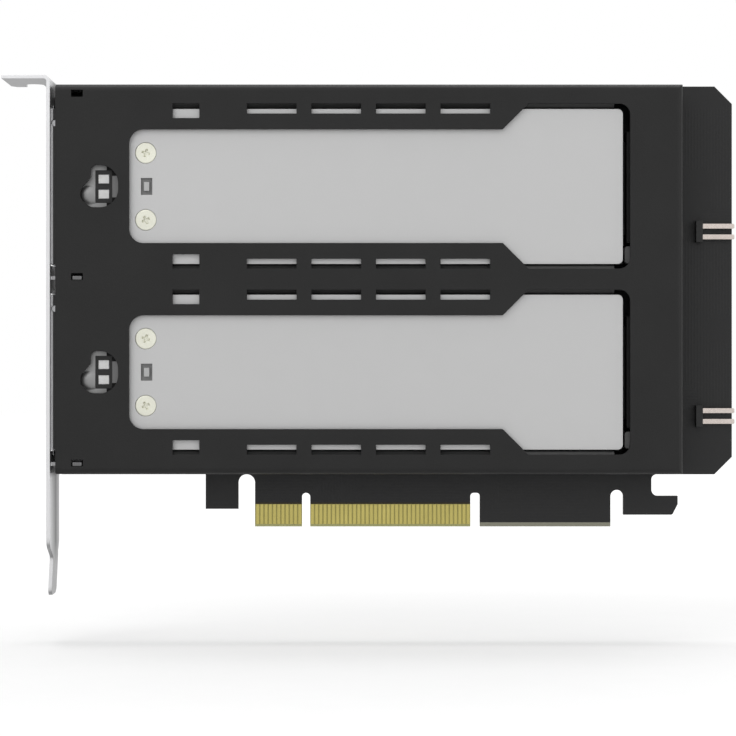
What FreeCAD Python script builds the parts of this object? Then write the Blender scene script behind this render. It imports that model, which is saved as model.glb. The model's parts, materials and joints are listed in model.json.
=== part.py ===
import FreeCAD, Part
import math
import os
from FreeCAD import Vector

# Two-bay drive adapter card, drawn as it stands in its slot. Millimetres, +Z up.
# +X runs along the card away from its bracket, and -Y is the side that carries the cage.
# The origin is at the key notch, on the lower edge of the fingers, in the middle of the board.

# How far a cutting form runs past a face
cut_over = 1.0

# How far fused solids reach into each other, and the straight left between two roundings that nearly meet
seat_overlap = 0.1
corner_slack = 0.02

# Circuit board
board_thickness = 1.57
board_reach_bracket = 58.0
board_reach_far = 101.1
board_top_margin = 0.9
board_bottom = 12.4
board_corner_cut = 4.15
tab_bottom = 4.2
tab_from = -23.85
tab_to = -16.07
finger_from = -12.13
key_width = 1.96
key_top = 8.0
finger_to = 39.0
far_notch_width = 2.25
far_notch_radius = 0.8
blank_tab_to = 72.27
hook_notch_width = 3.03
hook_notch_top = 8.7
hook_bottom = 2.8
hook_top = 7.3
hook_reach = 88.25
hook_throat = 82.0
hook_throat_radius = 1.5
hook_corner_radius = 1.2
hook_tip_cut = 1.3
hook_tip_rise = 2.5
hook_tip_radius = 0.6
bevel_height = 0.55
bevel_depth = 0.3

# Gold contacts on both faces of the fingers
contact_pitch = 1.0
contact_width = 0.7
contact_top = 5.3
contact_thickness = 0.05
contact_key_gap = 1.5
short_contact_count = 11
long_contact_count = 38

# Sheet metal cage on the component side
cage_sheet = 1.0
cage_depth = 14.0
cage_bend_radius = 1.6
cage_board_inset = 0.1
cage_length = 145.8
cage_margin = 5.675
cage_bottom_inset = 0.55
cage_relief = 0.4
bay_pitch = 43.2

# Openings in the cage, measured from its open end and from each bay's middle line
window_start = 17.15
window_end_inset = 12.35
window_wide_length = 29.55
window_narrow_inset = 4.85
window_wide_margin = 1.1
window_narrow_radius = 3.3
window_wide_radius = 2.5
slot_depth = 2.3
slot_start = 44.5
slot_bridge = 3.48
slot_row_end_gap = 2.96
slot_count = 4
short_slot_depth = 3.35
short_slot_start = 27.25
short_slot_length = 6.2
slit_start = 3.7
slit_length = 2.7
slit_height = 1.6
slit_end_inset = 2.2
slit_low_inset = 2.65
slit_middle_rise = 0.58
view_hole_start = 8.2
view_hole_width = 6.4
view_hole_height = 9.8
view_hole_radius = 4.2
view_hole_near_radius = 1.4
view_lobe_start = 5.8
view_lobe_radius = 2.1
view_lobe_drop = 1.9
view_lobe_slope_rise = 3.9

# Ears that hold the cage to the board
ear_length = 8.0
ear_width = 7.0
ear_hole_inset = 4.5
ear_first = 12.0
ear_last_inset = 17.8

# Slot bracket
bracket_sheet = 0.86
bracket_width = 18.42
bracket_front_reach = 14.7
bracket_gap = 1.04
bracket_rise = 2.0
bracket_bottom = -15.7
bracket_bend_radius = 1.5
flange_length = 10.4
flange_notch_width = 4.42
flange_notch_depth = 6.2
flange_notch_offset = 4.5
flange_corner_cut_x = 1.2
flange_corner_cut_y = 1.8
blade_shoulder = -3.6
tongue_width = 9.4
tongue_far_inset = 2.1
tongue_lean = 0.45
tongue_slope = 3.0
tongue_tip_radius = 2.0
bracket_ear_length = 9.0
bracket_ear_height = 8.0
bracket_ear_hole = 5.6
bracket_ear_margin = 5.7
bracket_ear_radius = 1.5
lug_slit_gap = 0.1
lug_cage_gap = 0.4
lug_arm_width = 3.4
lug_arm_radius = 1.0
lug_tip_radius = 0.5
lug_sink = 0.1

# Screws that come through the board from its back
screw_radius = 1.25
screw_head_radius = 2.4
screw_head_height = 1.5
screw_tip = 1.1
stem_sides = 12
screw_clearance = 0.15
thread_clearance = 0.02
drill_allowance = 0.5

# Sliding trays, heights measured from the board's component face
tray_gap = 7.1
tray_bottom = 3.4
tray_window_gap = 1.55
cover_gap = 0.5
cover_thickness = 1.5
cover_offset = 15.7
cover_end_gap = 0.2
cover_corner_radius = 1.2
cover_screw_inset = 5.2
cover_screw_offset = 7.8
cover_screw_head_radius = 2.45
cover_screw_head_height = 0.8
cover_screw_radius = 1.0
cover_screw_length = 4.2
groove_length = 3.9
groove_width = 2.6
island_length = 2.1
island_width = 1.3
groove_inset = 5.4
groove_depth = 0.9

# Tray carrier
carrier_wall = 2.85
carrier_rear_wall = 1.4
crossbar_width = 8.9
front_block_rise = 0.6
duct_inset = 1.55
duct_width = 6.5
duct_bottom = 5.4
duct_top = 10.2
rib_bottom = 7.15
rib_height = 1.3
rib_depth = 1.0
rib_end_inset = 2.0

# Tray circuit board
tray_board_thickness = 1.0
tray_board_recess = 0.2
tray_board_setback = 3.1
tray_board_inset = 1.65
tray_board_gap = 0.2
tongue_half = 11.0
tongue_reach = 4.6

# Drive socket, standoff and pad
socket_inset = 16.0
socket_length = 8.8
socket_half = 11.0
socket_height = 4.2
socket_slot_half = 9.9
socket_slot_depth = 3.0
socket_slot_height = 1.0
socket_slot_rise = 2.2
drive_front_gap = 13.5
standoff_across_flats = 4.4
standoff_sides = 6
standoff_height = 2.2
standoff_thread_radius = 0.8
standoff_floor = 0.4
pad_thickness = 1.0
pad_half = 10.5
pad_gap = 2.0

# Tray bezel and eject lever
bezel_depth = 6.0
bezel_clearance = 0.35
bezel_edge_break = 0.4
lever_recess_depth = 3.2
lever_recess_end = 1.05
lever_recess_foot = 8.85
lever_recess_inset = 1.2
lever_clearance = 0.25
lever_thickness = 2.4
lever_sink = 0.1
lever_tip_gap = 0.4
lever_tip_radius = 0.8
lever_hub_radius = 1.2
lever_scoop_radius = 4.0
lever_scoop_depth = 1.2
lever_groove_count = 3
lever_groove_pitch = 2.0
lever_groove_depth = 0.35
lever_groove_width = 0.7
lever_groove_start = 3.0
lever_groove_inset = 0.6
pivot_end_inset = 3.25
pivot_inset = 1.7
pin_radius = 0.75
pin_running_clearance = 0.05
pin_fit_clearance = 0.01
pin_end_inset = 0.6
catch_rise = 3.5
catch_size = 1.2
catch_reach = 1.5
catch_width = 3.0
catch_clearance = 0.4
vent_count = 3
vent_pitch = 2.2
vent_width = 1.2
vent_length = 5.0
vent_end_inset = 2.55

# Lights and latch spring behind the round opening
light_frame_offset = 4.6
light_frame_width = 3.9
light_frame_height = 7.6
light_frame_drop = 0.1
light_pipe_size_x = 2.5
light_pipe_size_z = 2.1
light_pipe_offset = 1.75
light_pipe_drop = 0.05
light_pipe_gap = 0.1
chip_light_height = 0.7
chip_light_half_x = 0.8
chip_light_half_z = 0.5
spring_thickness = 0.5
spring_half = 5.6
spring_front_inset = 0.9
spring_rear_inset = 0.6
spring_corner_radius = 1.2
spring_dome_rise = 0.5
spring_dome_radius = 2.4

# Guide rails between the trays
rail_clearance = 0.25
rail_groove_depth = 1.3
rail_rear_inset = 2.0
rail_slit_gap = 0.6
rail_screw_first = 16.0
rail_screw_last_inset = 22.9
rail_lead_in = 2.5
rail_lead_widening = 1.2

# Receptacles that the trays plug into
receptacle_gap = 1.2
receptacle_length = 8.8
receptacle_half = 13.0
receptacle_height = 9.0
receptacle_slot_clearance = 0.2
receptacle_slot_depth = 4.2
stop_post_gap = 0.5
stop_post_width = 3.9
stop_post_inset = 0.25
stop_post_height = 11.5
stop_post_edge_break = 0.4
mouth_depth = 0.8
mouth_widening = 1.0

# Pin headers at the far edge
header_offset = -10.15
header_bay_pitch = 43.7
header_pitch = 2.54
header_body_inset = 8.8
header_body_width = 1.6
header_body_height = 2.6
header_pin_width = 1.15
header_pin_thickness = 0.64
header_pin_height = 1.3
header_pin_overhang = 0.4
header_leg_inset = 0.4
header_leg_size = 0.64
header_tip_break = 0.2

# Board parts under the cage
clock_chip_size = 5.0
clock_chip_height = 0.9
clock_chip_gap = 4.4
regulator_length = 6.5
regulator_width = 6.0
regulator_height = 1.6
inductor_size = 5.2
inductor_height = 2.4
inductor_corner = 0.8
capacitor_length = 3.2
capacitor_width = 1.6
capacitor_height = 1.3
capacitor_count = 3
capacitor_pitch = 5.0
capacitor_drop = 4.0
power_inset = 9.05
regulator_inset = 16.0
inductor_inset = 28.0
coupling_length = 1.0
coupling_width = 0.5
coupling_height = 0.5
coupling_count = 16
coupling_pitch = 2.0
coupling_rise = 1.0

# Places worked out from the sizes above
component_face = -board_thickness / 2
board_left = -board_reach_bracket
cage_left = board_left + cage_board_inset
cage_right = cage_left + cage_length
cage_bottom = board_bottom + cage_bottom_inset
tray_half = (bay_pitch - tray_gap) / 2
cage_top = cage_bottom + bay_pitch + 2 * (tray_half + cage_margin)
board_top = cage_top + board_top_margin
cage_middle = (cage_bottom + cage_top) / 2
bay_middles = {"upper": cage_middle + bay_pitch / 2, "lower": cage_middle - bay_pitch / 2}
bracket_inner = board_left - bracket_gap
bracket_outer = bracket_inner - bracket_sheet
bracket_near = component_face - bracket_front_reach
bracket_far = bracket_near + bracket_width
bracket_top = cage_top + bracket_rise
window_left = cage_left + window_start
window_right = cage_right - window_end_inset
neck_x = window_right - window_wide_length
window_narrow_half = tray_half - window_narrow_inset
window_wide_half = tray_half + window_wide_margin
slot_inner = window_wide_half - slot_depth
short_slot_inner = window_wide_half - short_slot_depth
slot_row_length = neck_x - cage_left - slot_row_end_gap - slot_start
slot_length = (slot_row_length - (slot_count - 1) * slot_bridge) / slot_count
slot_pitch = slot_length + slot_bridge
ear_places = (cage_left + ear_first, cage_right - ear_last_inset)
tray_rear = window_right - tray_window_gap
cover_start = cage_left + cover_offset
cover_screw_x = cover_start + cover_screw_inset
groove_x = cover_start + groove_inset
light_frame_x = cover_start - light_frame_offset
cover_top = cage_depth - cage_sheet - cover_gap
cover_bottom = cover_top - cover_thickness
tray_mid_height = (tray_bottom + cover_top) / 2
bezel_back = bracket_outer + bezel_depth
tray_board_front = bezel_back + tray_board_setback
board_seat = tray_bottom + tray_board_recess
board_deck = board_seat + tray_board_thickness
head_to = cover_start - cover_end_gap
crossbar_to = head_to + crossbar_width
front_block_top = cover_bottom + front_block_rise
rail_inner = tray_half + rail_clearance
tray_board_half = tray_half - tray_board_inset
rail_from = cage_left + slit_start + slit_length + rail_slit_gap
rail_to = tray_rear - rail_rear_inset
rail_screw_places = (rail_from + rail_screw_first, rail_to - rail_screw_last_inset)
header_body_x = board_reach_far - header_body_inset
header_pin_reach = board_reach_far + header_pin_overhang
receptacle_from = tray_rear + receptacle_gap
pivot_x = bracket_outer + pivot_inset
pivot_height = tray_half - pivot_end_inset
lever_recess_top = tray_half - lever_recess_end
lever_recess_bottom = lever_recess_foot - tray_half
catch_height = lever_recess_bottom + catch_rise
stop_post_to = tray_half - stop_post_inset
stop_post_from = stop_post_to - stop_post_width
power_rise = tray_half - power_inset
socket_x = tray_rear - socket_inset
drive_end = crossbar_to + drive_front_gap


def block(x_from, x_to, z_from, z_to, h_from, h_to):
    """A box between two X, two Z and two heights above the component face."""
    corner = Vector(x_from, component_face - h_to, z_from)
    return Part.makeBox(x_to - x_from, h_to - h_from, z_to - z_from, corner)


def post(x, z, radius, h_from, h_to):
    """A round post that stands on the board between two heights."""
    return Part.makeCylinder(radius, h_to - h_from, Vector(x, component_face - h_from, z), Vector(0, -1, 0))


def prism(x, z, radius, h_from, h_to):
    """A post with a few flat sides around a radius, for stems and holes that heads cover."""
    corner_radius = radius / math.cos(math.pi / stem_sides)
    points = []
    for i in range(stem_sides):
        angle = 2 * math.pi * i / stem_sides
        points.append(Vector(x + corner_radius * math.cos(angle), component_face - h_from,
                             z + corner_radius * math.sin(angle)))
    face = Part.Face(Part.makePolygon(points + points[:1]))
    return face.extrude(Vector(0, h_from - h_to, 0))


def in_plan(x, z):
    return Vector(x, component_face, z)


def in_end_view(y, z):
    return Vector(bracket_outer, y, z)


def in_top_view(x, y):
    return Vector(x, y, bracket_top)


def rounded_face(corners, place=in_plan):
    """A flat face from (u, v, radius) corners, where a radius of 0 leaves the corner sharp."""
    count = len(corners)
    starts = []
    ends = []
    middles = []
    for i in range(count):
        u, v, radius = corners[i]
        before = corners[i - 1]
        after = corners[(i + 1) % count]
        back = Vector(before[0] - u, before[1] - v, 0).normalize()
        ahead = Vector(after[0] - u, after[1] - v, 0).normalize()
        half_angle = back.getAngle(ahead) / 2
        point = Vector(u, v, 0)
        reach = radius / math.tan(half_angle)
        starts.append(point + back * reach)
        ends.append(point + ahead * reach)
        inward = (back + ahead).normalize()
        middles.append(point + inward * (radius / math.sin(half_angle) - radius))
    edges = []
    for i in range(count):
        if corners[i][2] > 0:
            arc = [place(p.x, p.y) for p in (starts[i], middles[i], ends[i])]
            edges.append(Part.Arc(*arc).toShape())
        following = starts[(i + 1) % count]
        if (following - ends[i]).Length > 1e-6:
            edges.append(Part.makeLine(place(ends[i].x, ends[i].y), place(following.x, following.y)))
    return Part.Face(Part.Wire(edges))


def plate(corners, h_from, h_to):
    """An outline in plan, given a thickness between two heights."""
    face = rounded_face(corners)
    face.translate(Vector(0, -h_from, 0))
    return face.extrude(Vector(0, h_from - h_to, 0))


def rectangle(x_from, x_to, z_from, z_to, radius=0):
    return [(x_from, z_from, radius), (x_to, z_from, radius), (x_to, z_to, radius), (x_from, z_to, radius)]


def straight_edges(shape, direction, wanted):
    """The straight edges along a direction whose middle passes a test."""
    found = []
    for edge in shape.Edges:
        if edge.Curve.TypeId != "Part::GeomLine":
            continue
        along = edge.tangentAt(edge.FirstParameter)
        middle = edge.valueAt((edge.FirstParameter + edge.LastParameter) / 2)
        if abs(along.dot(direction)) > 0.999 and wanted(middle):
            found.append(edge)
    return found


def near(value, target, within=0.01):
    return abs(value - target) < within


# Screw places on the board, as (x, z)
def cage_screw_places():
    places = []
    for x in ear_places:
        places.append((x, cage_top - ear_hole_inset))
        places.append((x, cage_bottom + ear_hole_inset))
    return places


def rail_spans():
    """The Z span of each guide rail."""
    return {
        "top_rail": (bay_middles["upper"] + rail_inner, cage_top - cage_sheet),
        "centre_rail": (bay_middles["lower"] + rail_inner, bay_middles["upper"] - rail_inner),
        "bottom_rail": (cage_bottom + cage_sheet, bay_middles["lower"] - rail_inner),
    }


def rail_screw_points():
    """The centre rail's own screws. The outer rails are trapped in the cage's folds."""
    return [(x, cage_middle) for x in rail_screw_places]


def bracket_screw_places():
    heights = (cage_bottom + bracket_ear_margin, cage_top - bracket_ear_margin)
    return [(bracket_inner + bracket_ear_hole, z) for z in heights]


def header_pin_heights(middle):
    """The heights of a bay's two header pins. The headers stand slightly wider apart than the bays."""
    spread = header_bay_pitch / bay_pitch
    centre = cage_middle + header_offset + (middle - cage_middle) * spread
    return [centre - header_pitch / 2, centre + header_pitch / 2]


# Main board and its contacts
def board_outline():
    key_half = key_width / 2
    notch_radius = (finger_from - tab_to) / 2 - corner_slack
    key_radius = key_half - corner_slack
    far_from = finger_to + far_notch_width
    hook_from = blank_tab_to + hook_notch_width
    hook_radius = hook_notch_width / 2 - corner_slack
    right = board_reach_far
    cut = board_corner_cut
    return [
        (board_left, board_bottom, 0),
        (tab_from, board_bottom, 0),
        (tab_from, tab_bottom, 0),
        (tab_to, tab_bottom, 0),
        (tab_to, board_bottom, notch_radius),
        (finger_from, board_bottom, notch_radius),
        (finger_from, 0, 0),
        (-key_half, 0, 0),
        (-key_half, key_top, key_radius),
        (key_half, key_top, key_radius),
        (key_half, 0, 0),
        (finger_to, 0, 0),
        (finger_to, key_top, far_notch_radius),
        (far_from, key_top, far_notch_radius),
        (far_from, 0, 0),
        (blank_tab_to, 0, 0),
        (blank_tab_to, hook_notch_top, hook_radius),
        (hook_from, hook_notch_top, hook_radius),
        (hook_from, hook_bottom, 0),
        (hook_reach - hook_tip_cut, hook_bottom, hook_tip_radius),
        (hook_reach, hook_bottom + hook_tip_rise, hook_tip_radius),
        (hook_reach, hook_top, 0),
        (hook_throat, hook_top, hook_throat_radius),
        (hook_throat, board_bottom, hook_corner_radius),
        (right - cut, board_bottom, 0),
        (right, board_bottom + cut, 0),
        (right, board_top - cut, 0),
        (right - cut, board_top, 0),
        (board_left, board_top, 0),
    ]


def bevel_wedge(side):
    """The strip that the bevel takes off one face of the fingers."""
    face = side * board_thickness / 2
    out = face + side * cut_over
    inner = face - side * bevel_depth
    lean = bevel_depth / bevel_height
    corners = [(face, bevel_height), (out, bevel_height), (out, -cut_over),
               (inner - side * lean * cut_over, -cut_over), (inner, 0)]
    points = [Vector(finger_from - cut_over, y, z) for y, z in corners]
    profile = Part.Face(Part.makePolygon(points + points[:1]))
    return profile.extrude(Vector(blank_tab_to - finger_from + 2 * cut_over, 0, 0))


def main_board():
    board = plate(board_outline(), -board_thickness, 0)
    tools = [bevel_wedge(-1), bevel_wedge(1)]
    for x, z in cage_screw_places() + rail_screw_points() + bracket_screw_places():
        tools.append(prism(x, z, screw_radius + screw_clearance, -board_thickness - cut_over, cut_over))
    return board.cut(tools)


def edge_contacts():
    contacts = []
    runs = [(-contact_key_gap - short_contact_count * contact_pitch + contact_pitch, short_contact_count),
            (contact_key_gap, long_contact_count)]
    bottom = bevel_height + contact_thickness
    for first, count in runs:
        for i in range(count):
            x = first + i * contact_pitch
            side_from = x - contact_width / 2
            side_to = x + contact_width / 2
            contacts.append(block(side_from, side_to, bottom, contact_top, 0, contact_thickness))
            back = -board_thickness
            contacts.append(block(side_from, side_to, bottom, contact_top, back - contact_thickness, back))
    return Part.makeCompound(contacts)


# Cage
def window_outline(middle):
    flare = window_wide_half - window_narrow_half
    wide = neck_x + flare
    return [
        (window_left, middle - window_narrow_half, window_narrow_radius),
        (neck_x, middle - window_narrow_half, 0),
        (wide, middle - window_wide_half, 0),
        (window_right, middle - window_wide_half, window_wide_radius),
        (window_right, middle + window_wide_half, window_wide_radius),
        (wide, middle + window_wide_half, 0),
        (neck_x, middle + window_narrow_half, 0),
        (window_left, middle + window_narrow_half, window_narrow_radius),
    ]


def view_hole(middle, h_from, h_to):
    """The upright rounded opening, with a lobe that slopes out on its left."""
    left = cage_left + view_hole_start
    right = left + view_hole_width
    low = middle - view_hole_height / 2
    high = middle + view_hole_height / 2
    lobe_left = cage_left + view_lobe_start
    lobe_z = middle - view_lobe_drop
    slope_top = lobe_z + view_lobe_slope_rise
    outline = [
        (right, low, view_hole_radius),
        (right, high, view_hole_radius),
        (left, high, view_hole_near_radius),
        (left, slope_top, view_lobe_radius / 2),
        (lobe_left, lobe_z + view_lobe_radius / 2, view_lobe_radius / 2),
        (lobe_left, lobe_z - view_lobe_radius / 2, view_lobe_radius / 2),
        (left, low, view_lobe_radius),
    ]
    return plate(outline, h_from, h_to)


def slit_heights():
    """The middle height of each slit near the cage's open end."""
    return [cage_top - slit_end_inset, cage_middle + slit_middle_rise, cage_bottom + slit_low_inset]


def cage():
    deep = cage_depth
    outer = block(cage_left, cage_right, cage_bottom, cage_top, 0, deep)
    front = component_face - deep
    far_bend = straight_edges(outer, Vector(0, 0, 1), lambda m: near(m.y, front) and near(m.x, cage_right))
    long_bends = straight_edges(outer, Vector(1, 0, 0), lambda m: near(m.y, front))
    outer = outer.makeFillet(cage_bend_radius, far_bend + long_bends)
    inner_right = cage_right - cage_sheet
    inner_front = component_face - (deep - cage_sheet)
    hollow = block(cage_left - cut_over, inner_right, cage_bottom + cage_sheet, cage_top - cage_sheet,
                   -cut_over, deep - cage_sheet)
    far_bend = straight_edges(hollow, Vector(0, 0, 1),
                              lambda m: near(m.y, inner_front) and near(m.x, inner_right))
    long_bends = straight_edges(hollow, Vector(1, 0, 0), lambda m: near(m.y, inner_front))
    hollow = hollow.makeFillet(cage_bend_radius - cage_sheet, far_bend + long_bends)
    shell = outer.cut(hollow)

    ears = []
    tools = []
    for x in ear_places:
        side_from = x - ear_length / 2
        side_to = x + ear_length / 2
        ears.append(block(side_from, side_to, cage_top - ear_width, cage_top - cage_sheet / 2, 0, cage_sheet))
        ears.append(block(side_from, side_to, cage_bottom + cage_sheet / 2, cage_bottom + ear_width,
                          0, cage_sheet))
    for x, z in cage_screw_places():
        tools.append(prism(x, z, screw_radius + thread_clearance, -cut_over, cage_sheet + cut_over))
    shell = shell.fuse(ears).removeSplitter()

    relief_depth = deep - cage_bend_radius
    for low in (cage_top - cage_sheet - cage_relief, cage_bottom + cage_sheet):
        corner = cage_right - cage_bend_radius
        tools.append(block(corner, cage_right + cut_over, low, low + cage_relief, -cut_over, relief_depth))

    through_from = deep - cage_sheet - cut_over
    through_to = deep + cut_over
    for middle in bay_middles.values():
        tools.append(plate(window_outline(middle), through_from, through_to))
        tools.append(view_hole(middle, through_from, through_to))
        for side in (-1, 1):
            for i in range(slot_count):
                start = cage_left + slot_start + i * slot_pitch
                rows = sorted((middle + side * slot_inner, middle + side * window_wide_half))
                outline = rectangle(start, start + slot_length, rows[0], rows[1])
                tools.append(plate(outline, through_from, through_to))
            start = cage_left + short_slot_start
            rows = sorted((middle + side * short_slot_inner, middle + side * window_wide_half))
            outline = rectangle(start, start + short_slot_length, rows[0], rows[1])
            tools.append(plate(outline, through_from, through_to))
    for z in slit_heights():
        start = cage_left + slit_start
        tools.append(block(start, start + slit_length, z - slit_height / 2, z + slit_height / 2,
                           through_from, through_to))
    return shell.cut(tools)


# Slot bracket
def bracket_profile():
    """Blade, leaning tongue and flange as one bent sheet, across the bracket's full width."""
    inner_radius = bracket_bend_radius - bracket_sheet
    lean_from = blade_shoulder - tongue_slope
    corners = [
        (bracket_outer, lean_from, 0),
        (bracket_outer - tongue_lean, bracket_bottom, 0),
        (bracket_inner - tongue_lean, bracket_bottom, 0),
        (bracket_inner, lean_from, 0),
        (bracket_inner, bracket_top, bracket_bend_radius),
        (bracket_outer - flange_length, bracket_top, 0),
        (bracket_outer - flange_length, bracket_top - bracket_sheet, 0),
        (bracket_outer, bracket_top - bracket_sheet, inner_radius),
    ]
    face = rounded_face(corners, lambda x, z: Vector(x, bracket_near, z))
    return face.extrude(Vector(0, bracket_width, 0))


def blade_outline():
    tongue_far = bracket_far - tongue_far_inset
    tongue_near = tongue_far - tongue_width
    over = bracket_top + cut_over
    return [
        (bracket_near, over, 0),
        (bracket_near, blade_shoulder, tongue_slope),
        (tongue_near, blade_shoulder - tongue_slope, tongue_slope / 2),
        (tongue_near, bracket_bottom, tongue_tip_radius),
        (tongue_far, bracket_bottom, tongue_tip_radius),
        (tongue_far, blade_shoulder - tongue_far_inset, 0),
        (bracket_far, blade_shoulder, 0),
        (bracket_far, over, 0),
    ]


def bracket_lug(slit_middle):
    """A flat lug that runs under the cage's front and hooks out through the lower part of a slit."""
    low = slit_middle - slit_height / 2 + lug_slit_gap
    seam = bracket_inner - bracket_sheet / 2
    hook_from = cage_left + slit_start + lug_slit_gap
    hook_to = cage_left + slit_start + slit_length - lug_slit_gap
    tip = component_face - cage_depth + lug_sink
    arm_near = component_face - (cage_depth - cage_sheet - lug_cage_gap)
    arm_far = arm_near + lug_arm_width
    corners = [
        (seam, arm_far, 0),
        (hook_to, arm_far, lug_arm_radius),
        (hook_to, tip, lug_tip_radius),
        (hook_from, tip, lug_tip_radius),
        (hook_from, arm_near, 0),
        (seam, arm_near, 0),
    ]
    face = rounded_face(corners, lambda x, y: Vector(x, y, low))
    return face.extrude(Vector(0, 0, bracket_sheet))


def bracket():
    sheet = bracket_profile()
    blade_keep = rounded_face(blade_outline(), in_end_view)
    blade_keep.translate(Vector(-flange_length - cut_over, 0, 0))
    sheet = sheet.common(blade_keep.extrude(Vector(flange_length + bracket_sheet + 2 * cut_over, 0, 0)))

    flange_end = bracket_outer - flange_length
    notch_x = bracket_outer - flange_notch_offset
    half = flange_notch_width / 2
    root = bracket_far - flange_notch_depth
    notch = rounded_face([(notch_x - half, root, half - corner_slack),
                          (notch_x + half, root, half - corner_slack),
                          (notch_x + half, bracket_far + cut_over, 0),
                          (notch_x - half, bracket_far + cut_over, 0)], in_top_view)
    corner_cut = rounded_face([(flange_end - cut_over, bracket_far - flange_corner_cut_y, 0),
                               (flange_end, bracket_far - flange_corner_cut_y, 0),
                               (flange_end + flange_corner_cut_x, bracket_far, 0),
                               (flange_end + flange_corner_cut_x, bracket_far + cut_over, 0),
                               (flange_end - cut_over, bracket_far + cut_over, 0)], in_top_view)
    tools = []
    for face in (notch, corner_cut):
        face.translate(Vector(0, 0, cut_over))
        tools.append(face.extrude(Vector(0, 0, -bracket_sheet - 2 * cut_over)))
    gap = bezel_clearance
    through_from = bracket_outer - cut_over
    through_to = bracket_inner + cut_over
    for middle in bay_middles.values():
        reach = tray_half + gap
        tools.append(block(through_from, through_to, middle - reach, middle + reach,
                           tray_bottom - gap, cover_top + gap))
        rib_reach = tray_half + rib_depth + gap
        tools.append(block(through_from, through_to, middle - rib_reach, middle + rib_reach,
                           rib_bottom - gap, rib_bottom + rib_height + gap))
    sheet = sheet.cut(tools)

    extras = []
    seam = bracket_inner - bracket_sheet / 2
    for x, z in bracket_screw_places():
        ear = rectangle(seam, bracket_inner + bracket_ear_length, z - bracket_ear_height / 2,
                        z + bracket_ear_height / 2, 0)
        ear[1] = ear[1][:2] + (bracket_ear_radius,)
        ear[2] = ear[2][:2] + (bracket_ear_radius,)
        extras.append(plate(ear, 0, bracket_sheet))
    extras += [bracket_lug(z) for z in slit_heights()[1:]]
    sheet = sheet.fuse(extras).removeSplitter()
    holes = [prism(x, z, screw_radius + thread_clearance, -cut_over, bracket_sheet + cut_over)
             for x, z in bracket_screw_places()]
    return sheet.cut(holes)


def back_screw(x, z, reach):
    """A pan-head screw that enters from the back of the board and ends at a height on the component side."""
    back = -board_thickness
    head = post(x, z, screw_head_radius, back - screw_head_height, back)
    return head.fuse(prism(x, z, screw_radius, back - seat_overlap, reach)).removeSplitter()


def board_screws():
    screws = [back_screw(x, z, cage_sheet + screw_tip) for x, z in cage_screw_places()]
    screws += [back_screw(x, z, cage_sheet + screw_tip) for x, z in bracket_screw_places()]
    screws += [back_screw(x, z, tray_bottom) for x, z in rail_screw_points()]
    return Part.makeCompound(screws)


# Guide rails
def rail(name):
    low, high = rail_spans()[name]
    top = cage_depth - cage_sheet
    body = block(rail_from, rail_to, low, high, 0, top)
    corners = straight_edges(body, Vector(1, 0, 0), lambda m: near(m.y, component_face - top))
    body = body.makeChamfer(cage_bend_radius - cage_sheet + rail_clearance, corners)
    groove_low = rib_bottom - rail_clearance
    groove_high = rib_bottom + rib_height + rail_clearance
    tools = []
    faces = {"top_rail": [(low, 1)], "centre_rail": [(high, -1), (low, 1)], "bottom_rail": [(high, -1)]}[name]
    for face, side in faces:
        rows = sorted((face - side * cut_over, face + side * rail_groove_depth))
        tools.append(block(rail_from - cut_over, rail_to + cut_over, rows[0], rows[1],
                           groove_low, groove_high))
        wedge = [Vector(rail_from - cut_over, component_face - groove_low + rail_lead_widening, rows[0]),
                 Vector(rail_from + rail_lead_in, component_face - groove_low, rows[0]),
                 Vector(rail_from + rail_lead_in, component_face - groove_high, rows[0]),
                 Vector(rail_from - cut_over, component_face - groove_high - rail_lead_widening, rows[0])]
        lead_in = Part.Face(Part.makePolygon(wedge + wedge[:1]))
        tools.append(lead_in.extrude(Vector(0, 0, rows[1] - rows[0])))
    notch = rail_clearance + cage_sheet + screw_tip
    for x in ear_places:
        reach = ear_length / 2 + rail_clearance
        if name != "centre_rail":
            tools.append(block(x - reach, x + reach, low - cut_over, high + cut_over, -cut_over, notch))
    for x, z in rail_screw_points():
        tools.append(prism(x, z, screw_radius + thread_clearance, -cut_over, tray_bottom + drill_allowance))
    for place in bracket_screw_places():
        reach = bracket_inner + bracket_ear_length + rail_clearance
        half = bracket_ear_height / 2 + rail_clearance
        tools.append(block(rail_from - cut_over, reach, place[1] - half, place[1] + half, -cut_over, notch))
    return body.cut(tools)


# Receptacle behind each tray
def receptacle(middle):
    right = receptacle_from + receptacle_length
    body = block(receptacle_from, right, middle - receptacle_half, middle + receptacle_half,
                 0, receptacle_height)
    gap = receptacle_slot_clearance
    slot = block(receptacle_from - cut_over, receptacle_from + receptacle_slot_depth,
                 middle - tongue_half - gap, middle + tongue_half + gap, board_seat - gap, board_deck + gap)
    side = middle - tongue_half - gap
    lip = receptacle_from - corner_slack
    throat = receptacle_from + mouth_depth
    mouth_points = [Vector(lip, component_face - board_seat + mouth_widening, side),
                    Vector(throat, component_face - board_seat + gap, side),
                    Vector(throat, component_face - board_deck - gap, side),
                    Vector(lip, component_face - board_deck - mouth_widening, side)]
    mouth = Part.Face(Part.makePolygon(mouth_points + mouth_points[:1]))
    mouth = mouth.extrude(Vector(0, 0, 2 * (tongue_half + gap)))
    return body.cut([slot, mouth])


def stop_post(middle):
    """The post beside a receptacle that a tray comes to rest against."""
    start = tray_rear + stop_post_gap
    post_to = receptacle_from + receptacle_length
    body = block(start, post_to, middle - stop_post_to, middle - stop_post_from, 0, stop_post_height)
    upright = straight_edges(body, Vector(0, 1, 0), lambda m: True)
    return body.makeChamfer(stop_post_edge_break, upright)


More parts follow.
